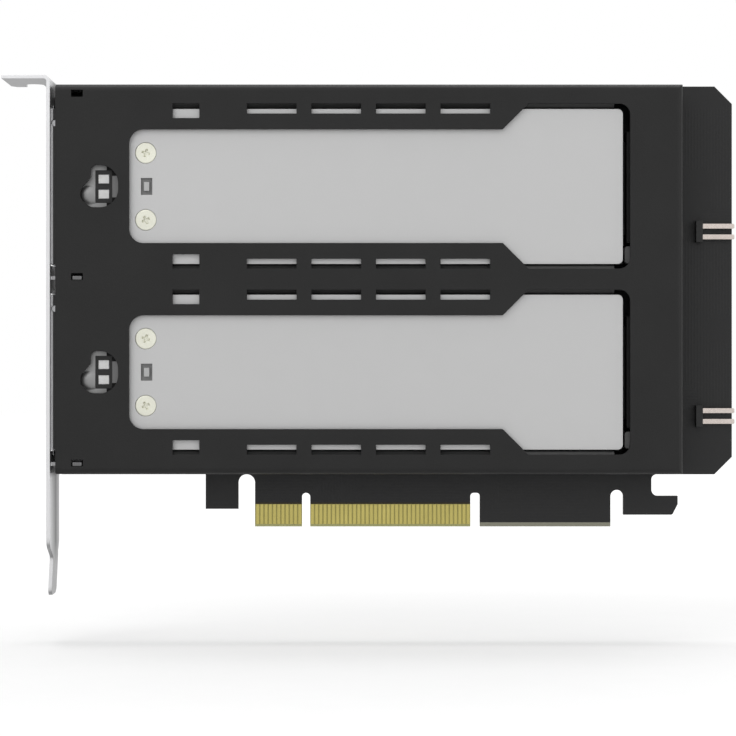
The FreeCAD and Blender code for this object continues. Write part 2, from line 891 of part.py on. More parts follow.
# Pin header at the far edge
def header_pins(middle):
    pins = []
    leg_from = header_body_x + header_leg_inset
    half = header_pin_thickness / 2
    for z in header_pin_heights(middle):
        bar = block(leg_from, header_pin_reach, z - header_pin_width / 2, z + header_pin_width / 2,
                    header_pin_height - half, header_pin_height + half)
        tip = straight_edges(bar, Vector(0, 0, 1), lambda m: near(m.x, header_pin_reach))
        tip += straight_edges(bar, Vector(0, 1, 0), lambda m: near(m.x, header_pin_reach))
        bar = bar.makeChamfer(header_tip_break, tip)
        leg = block(leg_from, leg_from + header_leg_size, z - header_leg_size / 2, z + header_leg_size / 2,
                    0, header_pin_height)
        pins.append(bar.fuse(leg).removeSplitter())
    return Part.makeCompound(pins)


def header_body(middle):
    heights = header_pin_heights(middle)
    low = heights[0] - header_pitch / 2
    high = heights[1] + header_pitch / 2
    body = block(header_body_x, header_body_x + header_body_width, low, high, 0, header_body_height)
    return body.cut(header_pins(middle))


# Small parts on the board under the cage
def clock_chip():
    low = rail_to + clock_chip_gap
    half = clock_chip_size / 2
    return block(low, low + clock_chip_size, cage_middle - half, cage_middle + half, 0, clock_chip_height)


def tray_carrier(middle):
    front = bezel_back
    body = block(front, tray_rear, middle - tray_half, middle + tray_half, tray_bottom, cover_bottom)
    head = block(front, head_to, middle - tray_half, middle + tray_half, cover_bottom, front_block_top)
    ribs = []
    for side in (-1, 1):
        rows = sorted((middle + side * (tray_half - seat_overlap), middle + side * (tray_half + rib_depth)))
        ribs.append(block(front + rib_end_inset, tray_rear - rib_end_inset, rows[0], rows[1],
                          rib_bottom, rib_bottom + rib_height))
    body = body.fuse([head] + ribs).removeSplitter()

    inside = tray_half - carrier_wall
    board_half = tray_board_half + tray_board_gap
    tools = [
        block(crossbar_to, tray_rear - carrier_rear_wall, middle - inside, middle + inside,
              board_deck - cut_over, cover_bottom + cut_over),
        block(tray_board_front - tray_board_gap, tray_rear + cut_over,
              middle - board_half, middle + board_half, tray_bottom - cut_over, board_deck),
        block(front - cut_over, crossbar_to + 2 * cut_over, middle + duct_inset - tray_half,
              middle + duct_inset + duct_width - tray_half, duct_bottom, duct_top),
        block(light_frame_x - light_frame_width / 2, light_frame_x + light_frame_width / 2,
              middle - light_frame_height / 2, middle + light_frame_height / 2,
              board_deck - cut_over, front_block_top + cut_over),
    ]
    for side in (-1, 1):
        z = middle + side * cover_screw_offset
        tools.append(prism(cover_screw_x, z, cover_screw_radius + thread_clearance,
                           cover_top - cover_screw_length - drill_allowance, cover_bottom + cut_over))
    return body.cut(tools)


def tray_cover(middle):
    outline = rectangle(cover_start, tray_rear, middle - tray_half, middle + tray_half, cover_corner_radius)
    cover = plate(outline, cover_bottom, cover_top)
    floor = cover_top - groove_depth
    groove = block(groove_x - groove_width / 2, groove_x + groove_width / 2, middle - groove_length / 2,
                   middle + groove_length / 2, floor, cover_top + cut_over)
    island = block(groove_x - island_width / 2, groove_x + island_width / 2, middle - island_length / 2,
                   middle + island_length / 2, floor - cut_over, cover_top + 2 * cut_over)
    tools = [groove.cut(island)]
    for side in (-1, 1):
        z = middle + side * cover_screw_offset
        tools.append(cover_screw_body(z, thread_clearance, cut_over))
    return cover.cut(tools)


def cover_screw_body(z, grow, beyond):
    """A flush-headed screw's outer form. The same form, slightly grown, is its seat in the cover."""
    neck = cover_top - cover_screw_head_height
    head = post(cover_screw_x, z, cover_screw_head_radius + grow, neck, cover_top + beyond)
    stem = prism(cover_screw_x, z, cover_screw_radius + grow, cover_top - cover_screw_length, neck)
    return head.fuse(stem).removeSplitter()


def cover_screws(middle):
    places = [middle - cover_screw_offset, middle + cover_screw_offset]
    return Part.makeCompound([cover_screw_body(z, 0.0, 0.0) for z in places])


# Tray circuit board and what stands on it
def standoff_outline(middle):
    """The outline of a standoff of even sides, from its width across flats."""
    radius = standoff_across_flats / 2 / math.cos(math.pi / standoff_sides)
    corners = []
    for i in range(standoff_sides):
        angle = 2 * math.pi * i / standoff_sides
        corners.append((drive_end + radius * math.cos(angle), middle + radius * math.sin(angle), 0))
    return corners


def tray_board(middle):
    board = block(tray_board_front, tray_rear, middle - tray_board_half, middle + tray_board_half,
                  board_seat, board_deck)
    tongue = block(tray_rear - cut_over, tray_rear + tongue_reach, middle - tongue_half, middle + tongue_half,
                   board_seat, board_deck)
    return board.fuse(tongue).removeSplitter()


def drive_socket(middle):
    body = block(socket_x, socket_x + socket_length, middle - socket_half, middle + socket_half,
                 board_deck, board_deck + socket_height)
    slot_low = board_deck + socket_slot_rise
    slot = block(socket_x - cut_over, socket_x + socket_slot_depth, middle - socket_slot_half,
                 middle + socket_slot_half, slot_low, slot_low + socket_slot_height)
    return body.cut(slot)


def drive_standoff(middle):
    top = board_deck + standoff_height
    body = plate(standoff_outline(middle), board_deck, top)
    thread = prism(drive_end, middle, standoff_thread_radius, board_deck + standoff_floor, top + cut_over)
    return body.cut(thread)


def thermal_pad(middle):
    return block(drive_end + pad_gap, socket_x - pad_gap, middle - pad_half, middle + pad_half,
                 cover_bottom - pad_thickness, cover_bottom)


# Lights behind the round opening
def light_pipes(middle):
    pipes = []
    half_x = light_pipe_size_x / 2
    half_z = light_pipe_size_z / 2
    foot = board_deck + chip_light_height + light_pipe_gap
    top = front_block_top + spring_thickness - light_pipe_drop
    for side in (-1, 1):
        z = middle + side * light_pipe_offset
        pipes.append(block(light_frame_x - half_x, light_frame_x + half_x, z - half_z, z + half_z, foot, top))
    return Part.makeCompound(pipes)


def light_frame(middle):
    half_x = light_frame_width / 2
    half_z = light_frame_height / 2
    top = front_block_top + spring_thickness + light_frame_drop
    frame = block(light_frame_x - half_x, light_frame_x + half_x, middle - half_z, middle + half_z,
                  board_deck, top)
    half_x = light_pipe_size_x / 2
    half_z = light_pipe_size_z / 2
    tools = []
    for side in (-1, 1):
        z = middle + side * light_pipe_offset
        tools.append(block(light_frame_x - half_x, light_frame_x + half_x, z - half_z, z + half_z,
                           board_deck - cut_over, top + cut_over))
    return frame.cut(tools)


def chip_lights(middle):
    chips = []
    for side in (-1, 1):
        z = middle + side * light_pipe_offset
        chips.append(block(light_frame_x - chip_light_half_x, light_frame_x + chip_light_half_x,
                           z - chip_light_half_z, z + chip_light_half_z,
                           board_deck, board_deck + chip_light_height))
    return Part.makeCompound(chips)


def latch_spring(middle):
    low = front_block_top
    high = low + spring_thickness
    left = bezel_back + spring_front_inset
    right = cover_start - spring_rear_inset
    outline = rectangle(left, right, middle - spring_half, middle + spring_half, spring_corner_radius)
    leaf = plate(outline, low, high)
    dome_x = cage_left + view_lobe_start + view_lobe_radius
    chord = spring_dome_radius
    ball = (chord ** 2 + spring_dome_rise ** 2) / (2 * spring_dome_rise)
    centre_height = high + spring_dome_rise - ball
    centre = Vector(dome_x, component_face - centre_height, middle - view_lobe_drop)
    bounds = post(dome_x, middle - view_lobe_drop, chord + seat_overlap, low + seat_overlap, high + cut_over)
    dome = Part.makeSphere(ball, centre).common(bounds)
    leaf = leaf.fuse(dome).removeSplitter()
    half_x = light_frame_width / 2
    half_z = light_frame_height / 2
    window = block(light_frame_x - half_x, light_frame_x + half_x, middle - half_z, middle + half_z,
                   low - cut_over, high + cut_over)
    return leaf.cut(window)


# Bezel, lever and pin
def tray_bezel(middle):
    body = block(bracket_outer, bezel_back, middle - tray_half, middle + tray_half, tray_bottom, cover_top)
    front_edges = straight_edges(body, Vector(0, 1, 0), lambda m: near(m.x, bracket_outer))
    front_edges += straight_edges(body, Vector(0, 0, 1), lambda m: near(m.x, bracket_outer))
    body = body.makeChamfer(bezel_edge_break, front_edges)
    recess_low = tray_bottom + lever_recess_inset
    recess_high = cover_top - lever_recess_inset
    tools = [block(bracket_outer - cut_over, bracket_outer + lever_recess_depth, middle + lever_recess_bottom,
                   middle + lever_recess_top, recess_low, recess_high)]
    catch_end = bracket_outer + lever_sink + lever_thickness + catch_reach
    half = catch_size / 2 + catch_clearance
    half_width = catch_width / 2 + catch_clearance
    z = middle + catch_height
    tools.append(block(bracket_outer + lever_sink, catch_end + catch_clearance, z - half, z + half,
                       tray_mid_height - half_width, tray_mid_height + half_width))
    tools.append(post(pivot_x, middle + pivot_height, pin_radius + pin_fit_clearance,
                      tray_bottom + pin_end_inset, cover_top + cut_over))
    for i in range(vent_count):
        z = middle - tray_half + vent_end_inset + i * vent_pitch
        tools.append(block(bracket_outer - cut_over, bezel_back + cut_over,
                           z - vent_width / 2, z + vent_width / 2,
                           tray_mid_height - vent_length / 2, tray_mid_height + vent_length / 2))
    return body.cut(tools)


def eject_lever(middle):
    outer = bracket_outer + lever_sink
    inner = outer + lever_thickness
    pivot_z = middle + pivot_height
    low = middle + lever_recess_bottom + lever_tip_gap
    width_low = tray_bottom + lever_recess_inset + lever_clearance
    width_high = cover_top - lever_recess_inset - lever_clearance
    arm = block(outer, inner, low, pivot_z, width_low, width_high)
    tip = straight_edges(arm, Vector(0, 1, 0), lambda m: near(m.x, outer) and near(m.z, low))
    arm = arm.makeFillet(lever_tip_radius, tip)
    hub = post(pivot_x, pivot_z, lever_hub_radius, width_low, width_high)
    half = catch_size / 2
    z = middle + catch_height
    catch = block(inner - seat_overlap, inner + catch_reach, z - half, z + half,
                  tray_mid_height - catch_width / 2, tray_mid_height + catch_width / 2)
    lever = arm.fuse([hub, catch]).removeSplitter()
    cut_low = width_low - cut_over
    cut_high = width_high + cut_over
    scoop_x = inner - lever_scoop_depth + lever_scoop_radius
    tools = [
        post(pivot_x, pivot_z, pin_radius + pin_running_clearance, cut_low, cut_high),
        post(scoop_x, low, lever_scoop_radius, cut_low, cut_high),
    ]
    for i in range(lever_groove_count):
        z = low + lever_groove_start + i * lever_groove_pitch
        tools.append(block(outer - cut_over, outer + lever_groove_depth, z, z + lever_groove_width,
                           width_low + lever_groove_inset, width_high - lever_groove_inset))
    return lever.cut(tools)


def lever_pin(middle):
    return post(pivot_x, middle + pivot_height, pin_radius,
                tray_bottom + pin_end_inset, cover_top - pin_end_inset)


# Small board parts
def power_parts():
    """Regulators, inductors and capacitors, one set for each bay, and the clock chip between them."""
    regulators = []
    inductors = []
    capacitors = []
    for middle in bay_middles.values():
        z = middle + power_rise
        x = tray_rear - regulator_inset
        regulators.append(block(x, x + regulator_length, z, z + regulator_width, 0, regulator_height))
        x = tray_rear - inductor_inset
        coil = block(x, x + inductor_size, z, z + inductor_size, 0, inductor_height)
        corners = straight_edges(coil, Vector(0, 1, 0), lambda m: True)
        inductors.append(coil.makeChamfer(inductor_corner, corners))
        for i in range(capacitor_count):
            low = z - capacitor_drop
            start = x + i * capacitor_pitch
            capacitors.append(block(start, start + capacitor_length, low, low + capacitor_width,
                                    0, capacitor_height))
    return regulators, inductors, capacitors


def coupling_capacitors():
    """The row of small capacitors above the fingers on the back of the board."""
    chips = []
    back = -board_thickness
    low = board_bottom + coupling_rise
    for i in range(coupling_count):
        x = contact_key_gap + i * coupling_pitch
        chips.append(block(x, x + coupling_width, low, low + coupling_length, back - coupling_height, back))
    return Part.makeCompound(chips)


def build():
    """Every node of the card by name."""
    nodes = {
        "main_board": main_board(),
        "edge_contacts": edge_contacts(),
        "cage": cage(),
        "bracket": bracket(),
        "board_screws": board_screws(),
        "clock_chip": clock_chip(),
        "coupling_capacitors": coupling_capacitors(),
    }
    regulators, inductors, capacitors = power_parts()
    nodes["power_regulators"] = Part.makeCompound(regulators)
    nodes["power_inductors"] = Part.makeCompound(inductors)
    nodes["power_capacitors"] = Part.makeCompound(capacitors)
    for name in rail_spans():
        nodes[name] = rail(name)
    tray_makers = {
        "carrier": tray_carrier,
        "cover": tray_cover,
        "cover_screws": cover_screws,
        "tray_board": tray_board,
        "drive_socket": drive_socket,
        "drive_standoff": drive_standoff,
        "thermal_pad": thermal_pad,
        "light_frame": light_frame,
        "light_pipes": light_pipes,
        "chip_lights": chip_lights,
        "latch_spring": latch_spring,
        "bezel": tray_bezel,
        "eject_lever": eject_lever,
        "lever_pin": lever_pin,
    }
    card_makers = {
        "receptacle": receptacle,
        "stop_post": stop_post,
        "header_body": header_body,
        "header_pins": header_pins,
    }
    for bay, middle in bay_middles.items():
        for name, make in {**card_makers, **tray_makers}.items():
            nodes[f"{bay}_{name}"] = make(middle)
    return nodes


os.makedirs("parts", exist_ok=True)
for node, shape in build().items():
    shape.exportStep(f"parts/{node}.step")
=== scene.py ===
import json
import math

import bmesh
import bpy
from bpy.props import FloatProperty, FloatVectorProperty, IntProperty, PointerProperty
from mathutils import Matrix, Vector


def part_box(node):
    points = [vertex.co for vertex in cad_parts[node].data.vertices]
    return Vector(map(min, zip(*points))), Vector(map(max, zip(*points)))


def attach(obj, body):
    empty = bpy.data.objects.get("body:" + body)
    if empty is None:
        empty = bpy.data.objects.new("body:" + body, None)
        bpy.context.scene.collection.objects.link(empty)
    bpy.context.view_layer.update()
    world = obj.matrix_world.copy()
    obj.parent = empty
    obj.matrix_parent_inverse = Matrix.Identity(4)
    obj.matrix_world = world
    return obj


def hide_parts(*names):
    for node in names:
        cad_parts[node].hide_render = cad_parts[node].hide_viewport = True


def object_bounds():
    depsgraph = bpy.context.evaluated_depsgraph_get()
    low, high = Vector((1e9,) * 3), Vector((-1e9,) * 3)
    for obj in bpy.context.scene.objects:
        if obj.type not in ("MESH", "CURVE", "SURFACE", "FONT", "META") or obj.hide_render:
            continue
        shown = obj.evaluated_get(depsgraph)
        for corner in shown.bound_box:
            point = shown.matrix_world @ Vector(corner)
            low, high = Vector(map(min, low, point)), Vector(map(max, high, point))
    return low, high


bl_info = {
    "name": "Drive Adapter Card",
    "version": (1, 0, 0),
    "blender": (4, 5, 0),
    "location": "View3D > Sidebar > Adapter Card",
    "description": "Finishes a two-bay drive adapter card and sets the stage for its picture",
    "category": "Object",
}

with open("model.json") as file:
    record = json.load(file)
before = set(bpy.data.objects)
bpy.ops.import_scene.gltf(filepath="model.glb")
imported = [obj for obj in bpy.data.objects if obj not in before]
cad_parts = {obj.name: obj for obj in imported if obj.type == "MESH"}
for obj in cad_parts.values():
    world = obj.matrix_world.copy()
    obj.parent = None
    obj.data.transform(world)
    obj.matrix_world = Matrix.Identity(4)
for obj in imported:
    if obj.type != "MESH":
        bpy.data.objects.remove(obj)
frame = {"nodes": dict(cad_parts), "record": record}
CAD_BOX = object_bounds()
NODES = frame["nodes"]
BODIES = frame["record"]["behaviour"]["bodies"]
BODY_OF = {node: body for body, members in BODIES.items() for node in members}
BAYS = ("upper", "lower")
MM = 0.001

# How meshes are welded, flattened, rounded and shaded
MERGE_DISTANCE = 0.002 * MM
FLAT_ANGLE = math.radians(0.6)
EDGE_ANGLE = math.radians(38)
SMOOTH_ANGLE = math.radians(32)

# The part of its normal that points up or down: more on a level face, less on an upright one
LEVEL_NORMAL = 0.9
UPRIGHT_NORMAL = 0.1

# Screws: the stem's tip and the recess's floor as shares, the steps of a head's rounded rim,
# and how far the first screw is turned and each next one past it
TIP_SHARE = 0.25
FLOOR_SHARE = 0.55
RIM_SEGMENTS = 5
FIRST_TURN = math.radians(25)
NEXT_TURN = math.radians(47)

# Noise: the values that most of it lies between, and how wide its clouds are in grains
NOISE_LOW, NOISE_HIGH = 0.3, 0.7
CLOUD_GRAINS = 40

# Circuit boards: fields of tracks, and the solder mask's openings at the card edge
TRACK_FIELD = 14 * MM
TRACK_WAVES = 430.0
TRACK_FLANK = (0.55, 0.75)
TRACKS_ACROSS_ABOVE = 0.60
TRACKS_UPWARD_BELOW = 0.30
MASK_SIDE = 0.4 * MM
MASK_LEDGE = 0.5 * MM
MASK_OPENING = 0.05 * MM
BEVEL_DROP = 0.03 * MM
TAB_BARE_HEIGHT = 1.0 * MM

# Bracket: where the painted shade on its inner face is darkest and its painted reflection brightest
# across, as shares of its width, the heights over which that ends at the tongue, where the blade
# ends, and how far behind the cage's front the painted shade on the lugs reaches
DARKEST_ACROSS = 0.4
BRIGHTEST_ACROSS = 0.59
TONGUE_FADE = (-9 * MM, -3 * MM)
BLADE_GAP = 0.9 * MM
LUG_SHADE_DEPTH = 2 * MM

# Covers: the machined key's place and size, and the depths over which the painted shade in its
# groove darkens
KEY_INSET = 5.4 * MM
KEY_WIDTH = 2.6 * MM
KEY_LENGTH = 3.9 * MM
KEY_GROOVE = (0.05 * MM, 0.3 * MM)

# Other places on the pieces where a finish changes, and how far the painted shadow reaches at each
# latch spring's corner
SPRING_SHADOW_CORNER = 1.3 * MM
BEZEL_FACE = 1.3 * MM
FACE_BLEND = 0.1 * MM
COUPLING_CAP = 0.25 * MM
POWER_CAP = 0.55 * MM

# Floor: its size, and the glow that makes up for the lamps' fall-off near the card and far away
FLOOR_SIZE = 6.0
GLOW_REACH = (0.15, 1.0)
GLOW_LEVEL = (0.12, 0.44)

# Colours of small parts and bare places
BLACK_PLATING = (0.045, 0.045, 0.048)
PIN_STEEL = (0.45, 0.45, 0.46)
STANDOFF_NICKEL = (0.55, 0.53, 0.47)
TIN = (0.62, 0.62, 0.60)
RAIL_PLASTIC = (0.016, 0.016, 0.016)
LEVER_PLASTIC = (0.014, 0.014, 0.014)
CONNECTOR_PLASTIC = (0.010, 0.010, 0.010)
STOP_PLASTIC = (0.10, 0.10, 0.10)
CHIP_PACKAGE = (0.011, 0.011, 0.012)
CHIP_LIGHT = (0.70, 0.66, 0.34)
COIL_FERRITE = (0.07, 0.07, 0.075)
COUPLING_CERAMIC = (0.24, 0.17, 0.09)
POWER_CERAMIC = (0.28, 0.20, 0.11)
DARK_LAMINATE, PALE_LAMINATE = (0.030, 0.026, 0.014), (0.055, 0.048, 0.026)
DARK_OLIVE, PALE_OLIVE = (0.30, 0.264, 0.072), (0.408, 0.36, 0.108)
LEDGE_BROWN = (0.022, 0.016, 0.005)
FINGER_BEVEL = (0.36, 0.355, 0.16)
TAB_BEVEL = (0.25, 0.245, 0.19)
# Painted shadow at each latch spring's corner, and painted shade in the covers' key grooves
CORNER_SHADOW = (0.012, 0.012, 0.012)
KEY_GROOVE_SHADE = (0.02, 0.02, 0.02)
WHITE = (1.0, 1.0, 1.0)


# Working with meshes
def only(piece):
    """Makes one object the active one, and the only one selected."""
    bpy.ops.object.select_all(action="DESELECT")
    piece.select_set(True)
    bpy.context.view_layer.objects.active = piece


def apply(piece, modifier):
    only(piece)
    bpy.ops.object.modifier_apply(modifier=modifier.name)


def rounded(piece, width, segments=2):
    """Rounds the sharp edges and settles the shading, so that edges catch the light."""
    bevel = piece.modifiers.new("Rounded edges", "BEVEL")
    bevel.width = width
    bevel.segments = segments
    bevel.limit_method = "ANGLE"
    bevel.angle_limit = EDGE_ANGLE
    bevel.use_clamp_overlap = False
    bevel.loop_slide = False
    apply(piece, bevel)
    settled(piece)


def settled(piece):
    """Smooth shading across small angles only, weighted towards the large faces."""
    only(piece)
    bpy.ops.object.shade_smooth_by_angle(angle=SMOOTH_ANGLE)
    weighted = piece.modifiers.new("Weighted normals", "WEIGHTED_NORMAL")
    weighted.keep_sharp = True
    apply(piece, weighted)


def new_piece(node, mesh):
    """An object for a node's finished mesh, at the origin."""
    piece = bpy.data.objects.new(f"{node}_finished", mesh)
    bpy.context.scene.collection.objects.link(piece)
    return piece


def merged_copy(node):
    """A copy of a node's mesh with its facets welded and its flat faces made whole."""
    piece = new_piece(node, NODES[node].data.copy())
    only(piece)
    bpy.ops.mesh.customdata_custom_splitnormals_clear()
    bpy.ops.object.mode_set(mode="EDIT")
    bpy.ops.mesh.select_all(action="SELECT")
    bpy.ops.mesh.remove_doubles(threshold=MERGE_DISTANCE)
    bpy.ops.mesh.dissolve_limited(angle_limit=FLAT_ANGLE)
    bpy.ops.object.mode_set(mode="OBJECT")
    return piece


def dressed(piece, node, finish):
    """Gives a new piece its finish, its body and the node that it stands for."""
    piece.data.materials.clear()
    piece.data.materials.append(finish)
    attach(piece, BODY_OF[node])
    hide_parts(node)
    return piece


def soften(node, finish, width, segments=2):
    """Makes a node's finished piece: its own shape with rounded edges and a finish."""
    piece = merged_copy(node)
    rounded(piece, width, segments)
    return dressed(piece, node, finish)


def solids_of(node):
    """The lowest and highest corner of each separate solid in a node."""
    mesh = bmesh.new()
    mesh.from_mesh(NODES[node].data)
    bmesh.ops.remove_doubles(mesh, verts=mesh.verts, dist=MERGE_DISTANCE)
    waiting = set(mesh.verts)
    boxes = []
    while waiting:
        group = [waiting.pop()]
        for vertex in group:
            for edge in vertex.link_edges:
                other = edge.other_vert(vertex)
                if other in waiting:
                    waiting.remove(other)
                    group.append(other)
        low = Vector(min(v.co[i] for v in group) for i in range(3))
        high = Vector(max(v.co[i] for v in group) for i in range(3))
        boxes.append((low, high))
    mesh.free()
    return sorted(boxes, key=lambda box: tuple(box[0]))


# Finishes
class Finish:
    """A material while it is made: its shader, its tree and its piece's own coordinates."""

    def __init__(self, name, colour, roughness, metallic=0.0, specular=0.5):
        self.material = bpy.data.materials.new(name)
        self.material.use_nodes = True
        self.tree = self.material.node_tree
        self.shader = self.tree.nodes["Principled BSDF"]
        self.colour = tuple(colour)
        self.roughness = roughness
        self.set_input("Base Color", self.colour)
        self.set_input("Roughness", roughness)
        self.set_input("Metallic", metallic)
        self.set_input("Specular IOR Level", specular)
        coordinates = self.tree.nodes.new("ShaderNodeTexCoord").outputs
        self.place = coordinates["Object"]
        self.facing = coordinates["Normal"]

    def feed(self, socket, value):
        """Links a socket to another one, or gives it a plain number, place or colour."""
        if isinstance(value, bpy.types.NodeSocket):
            self.tree.links.new(value, socket)
        elif socket.type == "RGBA":
            socket.default_value = (*value, 1.0)
        else:
            socket.default_value = value

    def set_input(self, name, value):
        """Sets or links one of the shader's own sockets."""
        self.feed(self.shader.inputs[name], value)

    def add(self, kind, inputs=(), **settings):
        """A new node with its settings, and with its inputs set or linked."""
        node = self.tree.nodes.new(kind)
        for name, value in settings.items():
            setattr(node, name, value)
        for name, value in dict(inputs).items():
            self.feed(node.inputs[name], value)
        return node

    def stretched(self, share):
        """Coordinates in which a pattern is drawn out along Z."""
        inputs = {"Vector": self.place, "Scale": (1.0, 1.0, share)}
        return self.add("ShaderNodeMapping", inputs).outputs["Vector"]

    def noise(self, grain, detail=3.0, place=None):
        """A noise whose lumps are about as wide as the grain, in metres."""
        inputs = {"Vector": place or self.place, "Scale": 1 / grain, "Detail": detail}
        return self.add("ShaderNodeTexNoise", inputs).outputs["Fac"]

    def between(self, value, low, high, start=0.0, end=1.0):
        """The value mapped from low and high to start and end, and held inside them."""
        inputs = {"Value": value, "From Min": low, "From Max": high, "To Min": start, "To Max": end}
        return self.add("ShaderNodeMapRange", inputs).outputs["Result"]

    def math(self, operation, first, second=0.0):
        """A sum, a product, a comparison or the like of two values."""
        node = self.add("ShaderNodeMath", {0: first, 1: second}, operation=operation)
        return node.outputs["Value"]

    def mixed(self, share, first, second):
        """The first colour where the share is 0, and the second where it is 1."""
        node = self.add("ShaderNodeMix", data_type="RGBA")
        sockets = [s for s in node.inputs if s.enabled]
        for socket, value in zip(sockets, (share, first, second)):
            self.feed(socket, value)
        return next(s for s in node.outputs if s.enabled)

    def axis(self, name, source=None):
        """One coordinate of a place, a normal or a colour, and else of the piece's own place."""
        return self.add("ShaderNodeSeparateXYZ", {"Vector": source or self.place}).outputs[name]

    def shade(self, spread):
        """The finish's colour, a little darker or lighter."""
        return tuple(min(1.0, c * spread) for c in self.colour)

    def shaded(self, share, first, second):
        """The finish's colour, from one shade of it to another."""
        return self.mixed(share, self.shade(first), self.shade(second))

    def set_colour(self, colour):
        self.set_input("Base Color", colour)

    def paint_over(self, share, colour):
        """Another colour over the one so far, as strong as the share says."""
        so_far = self.shader.inputs["Base Color"].links[0].from_socket
        self.set_colour(self.mixed(share, so_far, colour))

    def vary_roughness(self, noise, low, high):
        """A roughness that follows a noise between two values."""
        self.set_input("Roughness", self.between(noise, NOISE_LOW, NOISE_HIGH, low, high))

    def set_bump(self, height, depth):
        """Relief that is as deep as the depth, in metres, where the height goes from 0 to 1."""
        bump = self.add("ShaderNodeBump", {"Height": height, "Distance": depth})
        self.set_input("Normal", bump.outputs["Normal"])

    def facing_front_or_back(self, low, high):
        """How far a face looks along Y, from 0 below the low value to 1 above the high one."""
        return self.between(self.math("ABSOLUTE", self.axis("Y", self.facing)), low, high)

    def band(self, value, low, high):
        """1 where a value is between two limits, and 0 elsewhere."""
        above = self.math("GREATER_THAN", value, low)
        return self.math("MULTIPLY", above, self.math("LESS_THAN", value, high))

    def brushed(self, grain, detail, share, gloss, depth):
        """Fine lines along Z in the roughness and the height."""
        lines = self.noise(grain, detail, self.stretched(share))
        self.vary_roughness(lines, *gloss)
        self.set_bump(lines, depth)

    def speckled(self, grain, spread, depth, rough_spread=0.06, cloudiness=1.0):
        """Fine grain in the colour, gloss and height, with wider clouds under it."""
        grains = self.noise(grain)
        clouds = self.math("MULTIPLY", self.noise(grain * CLOUD_GRAINS, 2.0), cloudiness)
        # The two noises together keep near their middle, so that part is spread over the shades
        centre = (1 + cloudiness) / 2
        reach = (1 + cloudiness) / 8
        tone = self.between(self.math("ADD", grains, clouds), centre - reach, centre + reach)
        self.set_colour(self.shaded(tone, 1 - spread, 1 + spread))
        self.vary_roughness(grains, self.roughness - rough_spread, self.roughness + rough_spread)
        self.set_bump(grains, depth)
        return self


def powder_coat(look):
    """The cage's matt black powder coat, with its fine pebbled skin."""
    finish = Finish("powder_coat_black", look.cage_colour, 0.48, specular=0.28)
    return finish.speckled(grain=0.35 * MM, spread=0.16, depth=0.02 * MM).material


def copper_tracks(finish, direction, here):
    """Raised tracks side by side along one direction, in the fields that have them."""
    waves = finish.add("ShaderNodeTexWave", {"Vector": finish.place, "Scale": TRACK_WAVES},
                       bands_direction=direction)
    return finish.math("MULTIPLY", finish.between(waves.outputs["Fac"], *TRACK_FLANK), here)


def solder_mask(look):
    """Black mask over copper tracks, open round the contacts, with bare laminate on the bevel."""
    finish = Finish("solder_mask_black", look.board_colour, 0.42, specular=0.30)
    cells = finish.add("ShaderNodeTexVoronoi", {"Vector": finish.place, "Scale": 1 / TRACK_FIELD},
                       distance="CHEBYCHEV")
    choice = finish.axis("X", cells.outputs["Color"])
    across = copper_tracks(finish, "X", finish.math("GREATER_THAN", choice, TRACKS_ACROSS_ABOVE))
    upward = copper_tracks(finish, "Z", finish.math("LESS_THAN", choice, TRACKS_UPWARD_BELOW))
    tracks = finish.math("MAXIMUM", across, upward)
    weave = finish.noise(0.5 * MM)
    mask = finish.shaded(finish.math("MULTIPLY", tracks, 0.5), 1.0, 1.16)
    laminate = finish.mixed(weave, DARK_LAMINATE, PALE_LAMINATE)
    body = finish.mixed(finish.facing_front_or_back(0.90, 0.97), laminate, mask)

    # Beside the contacts the mask ends in a brown ledge, and past them only the tab is bare
    low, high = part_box("edge_contacts")
    height = finish.axis("Z")
    beside = finish.band(finish.axis("X"), low.x - MASK_SIDE, high.x + MASK_SIDE)
    ledge_top = finish.math("LESS_THAN", height, high.z + MASK_LEDGE)
    opening_top = finish.math("LESS_THAN", height, high.z + MASK_OPENING)
    ledge = finish.math("MULTIPLY", beside, ledge_top)
    opening = finish.math("MULTIPLY", beside, opening_top)
    past = finish.math("GREATER_THAN", finish.axis("X"), high.x + MASK_SIDE)
    bare_to = finish.between(past, 0.0, 1.0, low.z - BEVEL_DROP, TAB_BARE_HEIGHT)
    bevel = finish.math("LESS_THAN", height, bare_to)
    edged = finish.mixed(ledge, body, LEDGE_BROWN)
    opened = finish.mixed(opening, edged, finish.mixed(weave, DARK_OLIVE, PALE_OLIVE))
    finish.set_colour(finish.mixed(bevel, opened, finish.mixed(past, FINGER_BEVEL, TAB_BEVEL)))
    finish.vary_roughness(weave, 0.36, 0.50)
    relief = finish.math("ADD", finish.math("MULTIPLY", weave, 0.25), tracks)
    finish.set_bump(relief, 0.008 * MM)
    return finish.material


def contact_gold(look):
    """Hard gold on the fingers, with fine wipe marks along the way the card slides in."""
    finish = Finish("contact_gold", look.gold_colour, 0.34, metallic=1.0)
    finish.brushed(grain=0.12 * MM, detail=4.0, share=0.03, gloss=(0.26, 0.44), depth=0.002 * MM)
    finish.set_colour(finish.shaded(finish.noise(6 * MM), 0.88, 1.12))
    return finish.material


